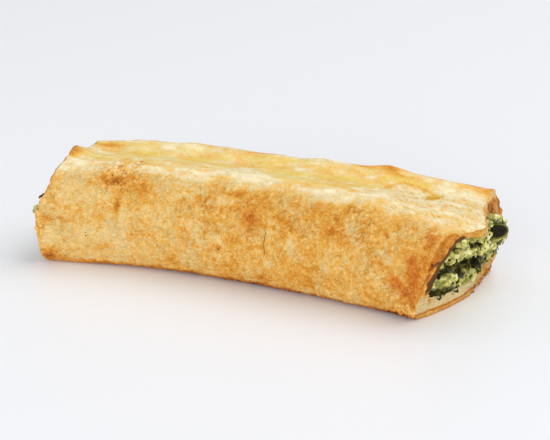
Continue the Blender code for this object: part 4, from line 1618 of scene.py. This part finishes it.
def crust_material(colours, grain, creases, crinkles):
    """Baked skin: grainy gold on the sides, smooth and pale on the top."""
    material, tree, shader = new_material("baked_crust")
    position = own_place(tree)
    coarse = place_group(tree, grain, Position=position, Size=2.1 * MM)
    fine = place_group(tree, grain, Position=position, Size=0.9 * MM)
    baked = kept_value(tree, "grain")
    change = maths(tree, "MULTIPLY", off_middle(tree, coarse["Mottle"]), 0.58)
    change = added(tree, change, off_middle(tree, fine["Mottle"]), 0.64)
    change = added(tree, change, maths(tree, "SUBTRACT", 0.55, fine["Bubbles"]), 0.12)
    change = added(tree, change, coarse["Wrinkles"], -0.13)
    crinkle = place_group(tree, crinkles, Position=position, Size=1.7 * MM)["Lines"]
    change = added(tree, change, crinkle, -0.16)
    speck = mapped(tree, fine["Bubbles"], 0.72, 0.86, 0.0, 1.0)
    change = added(tree, change, speck, 0.16)
    change = maths(tree, "MULTIPLY", change, mapped(tree, baked, 0.0, 1.0, 0.5, 1.0))
    lines = place_group(tree, creases, Position=position, Pitch=1.8 * MM)["Lines"]
    broken = mapped(tree, coarse["Mottle"], 0.44, 0.60, 0.0, 1.0)
    lines = maths(tree, "MULTIPLY", maths(tree, "MULTIPLY", lines, broken), kept_value(tree, "creased"))
    change = added(tree, change, lines, 0.15)
    browning = maths(tree, "ADD", change, kept_value(tree, "browning"))
    browning = maths(tree, "MAXIMUM", browning, mapped(tree, baked, 0.0, 1.0, 0.0, 0.20))
    colour = place_group(tree, colours, Browning=browning, Translucence=kept_value(tree, "thin"),
                         Redness=kept_value(tree, "red"))["Colour"]
    colour = mixed(tree, crack_mask(tree, position), colour, CRACK_COLOUR)
    tree.links.new(colour, shader.inputs["Base Color"])
    tree.links.new(mapped(tree, browning, 0.1, 0.9, 0.60, 0.46), shader.inputs["Roughness"])
    set_surface(shader, 0.22, 0.12, (1.1, 0.6, 0.2))
    height = added(tree, coarse["Height"], fine["Height"], 0.55)
    height = maths(tree, "MULTIPLY", height, mapped(tree, baked, 0.0, 1.0, 0.4, 1.0))
    height = added(tree, height, lines, -0.5)
    height = added(tree, height, maths(tree, "MULTIPLY", crinkle, baked), 0.5)
    set_bump(tree, shader, height, 0.60)
    return material


def flake_material(colours, grain):
    """Dry flakes and crumbs of baked dough."""
    material, tree, shader = new_material("dry_flake")
    position = own_place(tree)
    fine = place_group(tree, grain, Position=position, Size=0.7 * MM)
    browning = added(tree, kept_value(tree, "browning"), off_middle(tree, fine["Mottle"]), 0.35)
    colour = place_group(tree, colours, Browning=browning, Translucence=0.0, Redness=0.0)["Colour"]
    tree.links.new(colour, shader.inputs["Base Color"])
    tree.links.new(mapped(tree, browning, 0.1, 0.9, 0.62, 0.5), shader.inputs["Roughness"])
    set_surface(shader, 0.35)
    set_bump(tree, shader, fine["Height"], 0.12)
    return material


CURD_STOPS = (
    (0.00, (0.260, 0.250, 0.035)),
    (0.35, (0.600, 0.560, 0.120)),
    (0.65, (0.850, 0.790, 0.290)),
    (1.00, (0.940, 0.910, 0.620)),
)
SPINACH_STOPS = (
    (0.00, (0.015, 0.020, 0.006)),
    (0.50, (0.080, 0.090, 0.022)),
    (1.00, (0.300, 0.300, 0.080)),
)


def curd_material(grain):
    """Moist crumbly cheese, green where the spinach has stained it, with painted shade where its skin
    sinks in and, on the core, in the gap beside the open end's near wall.
    """
    material, tree, shader = new_material("moist_curd")
    position = own_place(tree)
    coarse = place_group(tree, grain, Position=position, Size=1.6 * MM)
    fine = place_group(tree, grain, Position=position, Size=0.6 * MM)
    tint = added(tree, kept_value(tree, "tint"), off_middle(tree, coarse["Mottle"]), 0.7)
    tint = added(tree, tint, off_middle(tree, fine["Mottle"]), 0.5)
    # painted shade: darker where the skin sinks in
    tint = added(tree, tint, kept_value(tree, "hollow_shade"), -0.40)
    cheese = ramp(tree, tint, CURD_STOPS)
    green = ramp(tree, tint, SPINACH_STOPS)
    # on the core the spinach value also holds painted shade of the gap beside the near wall
    colour = mixed(tree, kept_value(tree, "spinach"), cheese, green)
    tree.links.new(colour, shader.inputs["Base Color"])
    tree.links.new(mapped(tree, tint, 0.0, 1.0, 0.32, 0.5), shader.inputs["Roughness"])
    set_surface(shader, 0.45, 0.15, (1.0, 0.9, 0.4))
    set_bump(tree, shader, added(tree, coarse["Height"], fine["Height"], 0.5), 0.22)
    return material


LEAF_STOPS = (
    (0.00, (0.012, 0.010, 0.003)),
    (0.55, (0.042, 0.040, 0.008)),
    (1.00, (0.170, 0.150, 0.026)),
)


def leaf_material(grain):
    """Wet, dark cooked leaf."""
    material, tree, shader = new_material("cooked_leaf")
    position = own_place(tree)
    coarse = place_group(tree, grain, Position=position, Size=1.4 * MM)
    fine = place_group(tree, grain, Position=position, Size=0.5 * MM)
    tone = added(tree, kept_value(tree, "tint"), off_middle(tree, coarse["Mottle"]), 0.9)
    colour = ramp(tree, tone, LEAF_STOPS)
    tree.links.new(colour, shader.inputs["Base Color"])
    tree.links.new(mapped(tree, fine["Mottle"], 0.3, 0.7, 0.22, 0.42), shader.inputs["Roughness"])
    set_surface(shader, 0.07)
    set_bump(tree, shader, added(tree, coarse["Height"], fine["Height"], 0.5), 0.18)
    return material


def floor_material():
    """Pale and softly shiny."""
    material, _, shader = new_material("pale_floor")
    shader.inputs["Base Color"].default_value = FLOOR_COLOUR
    shader.inputs["Roughness"].default_value = 0.36
    set_surface(shader, 0.45)
    return material


# ================================================================ the stage


def make_floor():
    """A wide pale floor."""
    half = FLOOR_HALF
    corners = [(-half, -half, 0.0), (half, -half, 0.0), (half, half, 0.0), (-half, half, 0.0)]
    floor = new_piece("floor", np.array(corners), [(0, 1, 2, 3)], floor_material())
    floor.location.z = -FLOOR_DROP * MM


def aimed(item, place, target):
    """Put a light or camera at a place, looking at a target, both in millimetres."""
    item.location = Vector(place) * MM
    aim = (Vector(target) - Vector(place)).normalized()
    item.rotation_euler = aim.to_track_quat("-Z", "Y").to_euler()


def make_lights():
    """Wide soft lamps and an even light from all around."""
    for name, place, target, width, depth, power in LAMPS:
        lamp = bpy.data.lights.new(name, "AREA")
        lamp.shape = "RECTANGLE"
        lamp.size = width * MM
        lamp.size_y = depth * MM
        lamp.energy = power
        item = bpy.data.objects.new(name, lamp)
        bpy.context.collection.objects.link(item)
        aimed(item, place, target)
    world = bpy.data.worlds.new("pale_room")
    world.use_nodes = True
    background = world.node_tree.nodes["Background"]
    background.inputs["Color"].default_value = ROOM_COLOUR
    background.inputs["Strength"].default_value = ROOM_LIGHT
    bpy.context.scene.world = world


def make_camera():
    """The camera at the photo's place."""
    aim = Vector(CAMERA_AIM)
    back = Vector((
        math.sin(CAMERA_TURN) * math.cos(CAMERA_RISE),
        -math.cos(CAMERA_TURN) * math.cos(CAMERA_RISE),
        math.sin(CAMERA_RISE),
    ))
    lens = bpy.data.cameras.new("camera")
    lens.sensor_fit = "HORIZONTAL"
    lens.sensor_width = SENSOR
    lens.lens = FOCAL_PIXELS / PHOTO_WIDTH * SENSOR
    lens.clip_start, lens.clip_end = LENS_REACH
    item = bpy.data.objects.new("camera", lens)
    bpy.context.collection.objects.link(item)
    aimed(item, aim + back * CAMERA_DISTANCE, aim)
    bpy.context.scene.camera = item


# ================================================================ the whole


dough_colours = dough_colour_group()
grain_group = crumb_grain_group()
crust_finish = crust_material(dough_colours, grain_group, fine_creases_group(), crinkle_group())
flake_finish = flake_material(dough_colours, grain_group)
curd_finish = curd_material(grain_group)
leaf_finish = leaf_material(grain_group)

# OPENING is the outline of the dough's inside at the open end; depth_inside reads it.
crust, OPENING, skin_points, skin_normals, skin_values, skin_masks = make_crust(crust_finish)
core = make_core(curd_finish)
curds, curd_points, curd_normals = make_curds(curd_finish)
flecks = make_flecks(leaf_finish, curd_points, curd_normals)
leaves = make_leaves(leaf_finish)
flakes = make_flakes(flake_finish, skin_points, skin_normals, skin_values, skin_masks)
crumbs = make_crumbs(flake_finish, skin_points, skin_normals, skin_values, skin_masks)

for piece, slot in ((crust, "crust"), (core, "filling"), (curds, "filling"), (flecks, "leaf"),
                    (leaves, "leaf"), (flakes, "flake"), (crumbs, "flake")):
    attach(piece, "root")
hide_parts("pastry")
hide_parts("filling")

make_floor()
make_lights()
make_camera()
bpy.context.scene.view_settings.view_transform = "Standard"
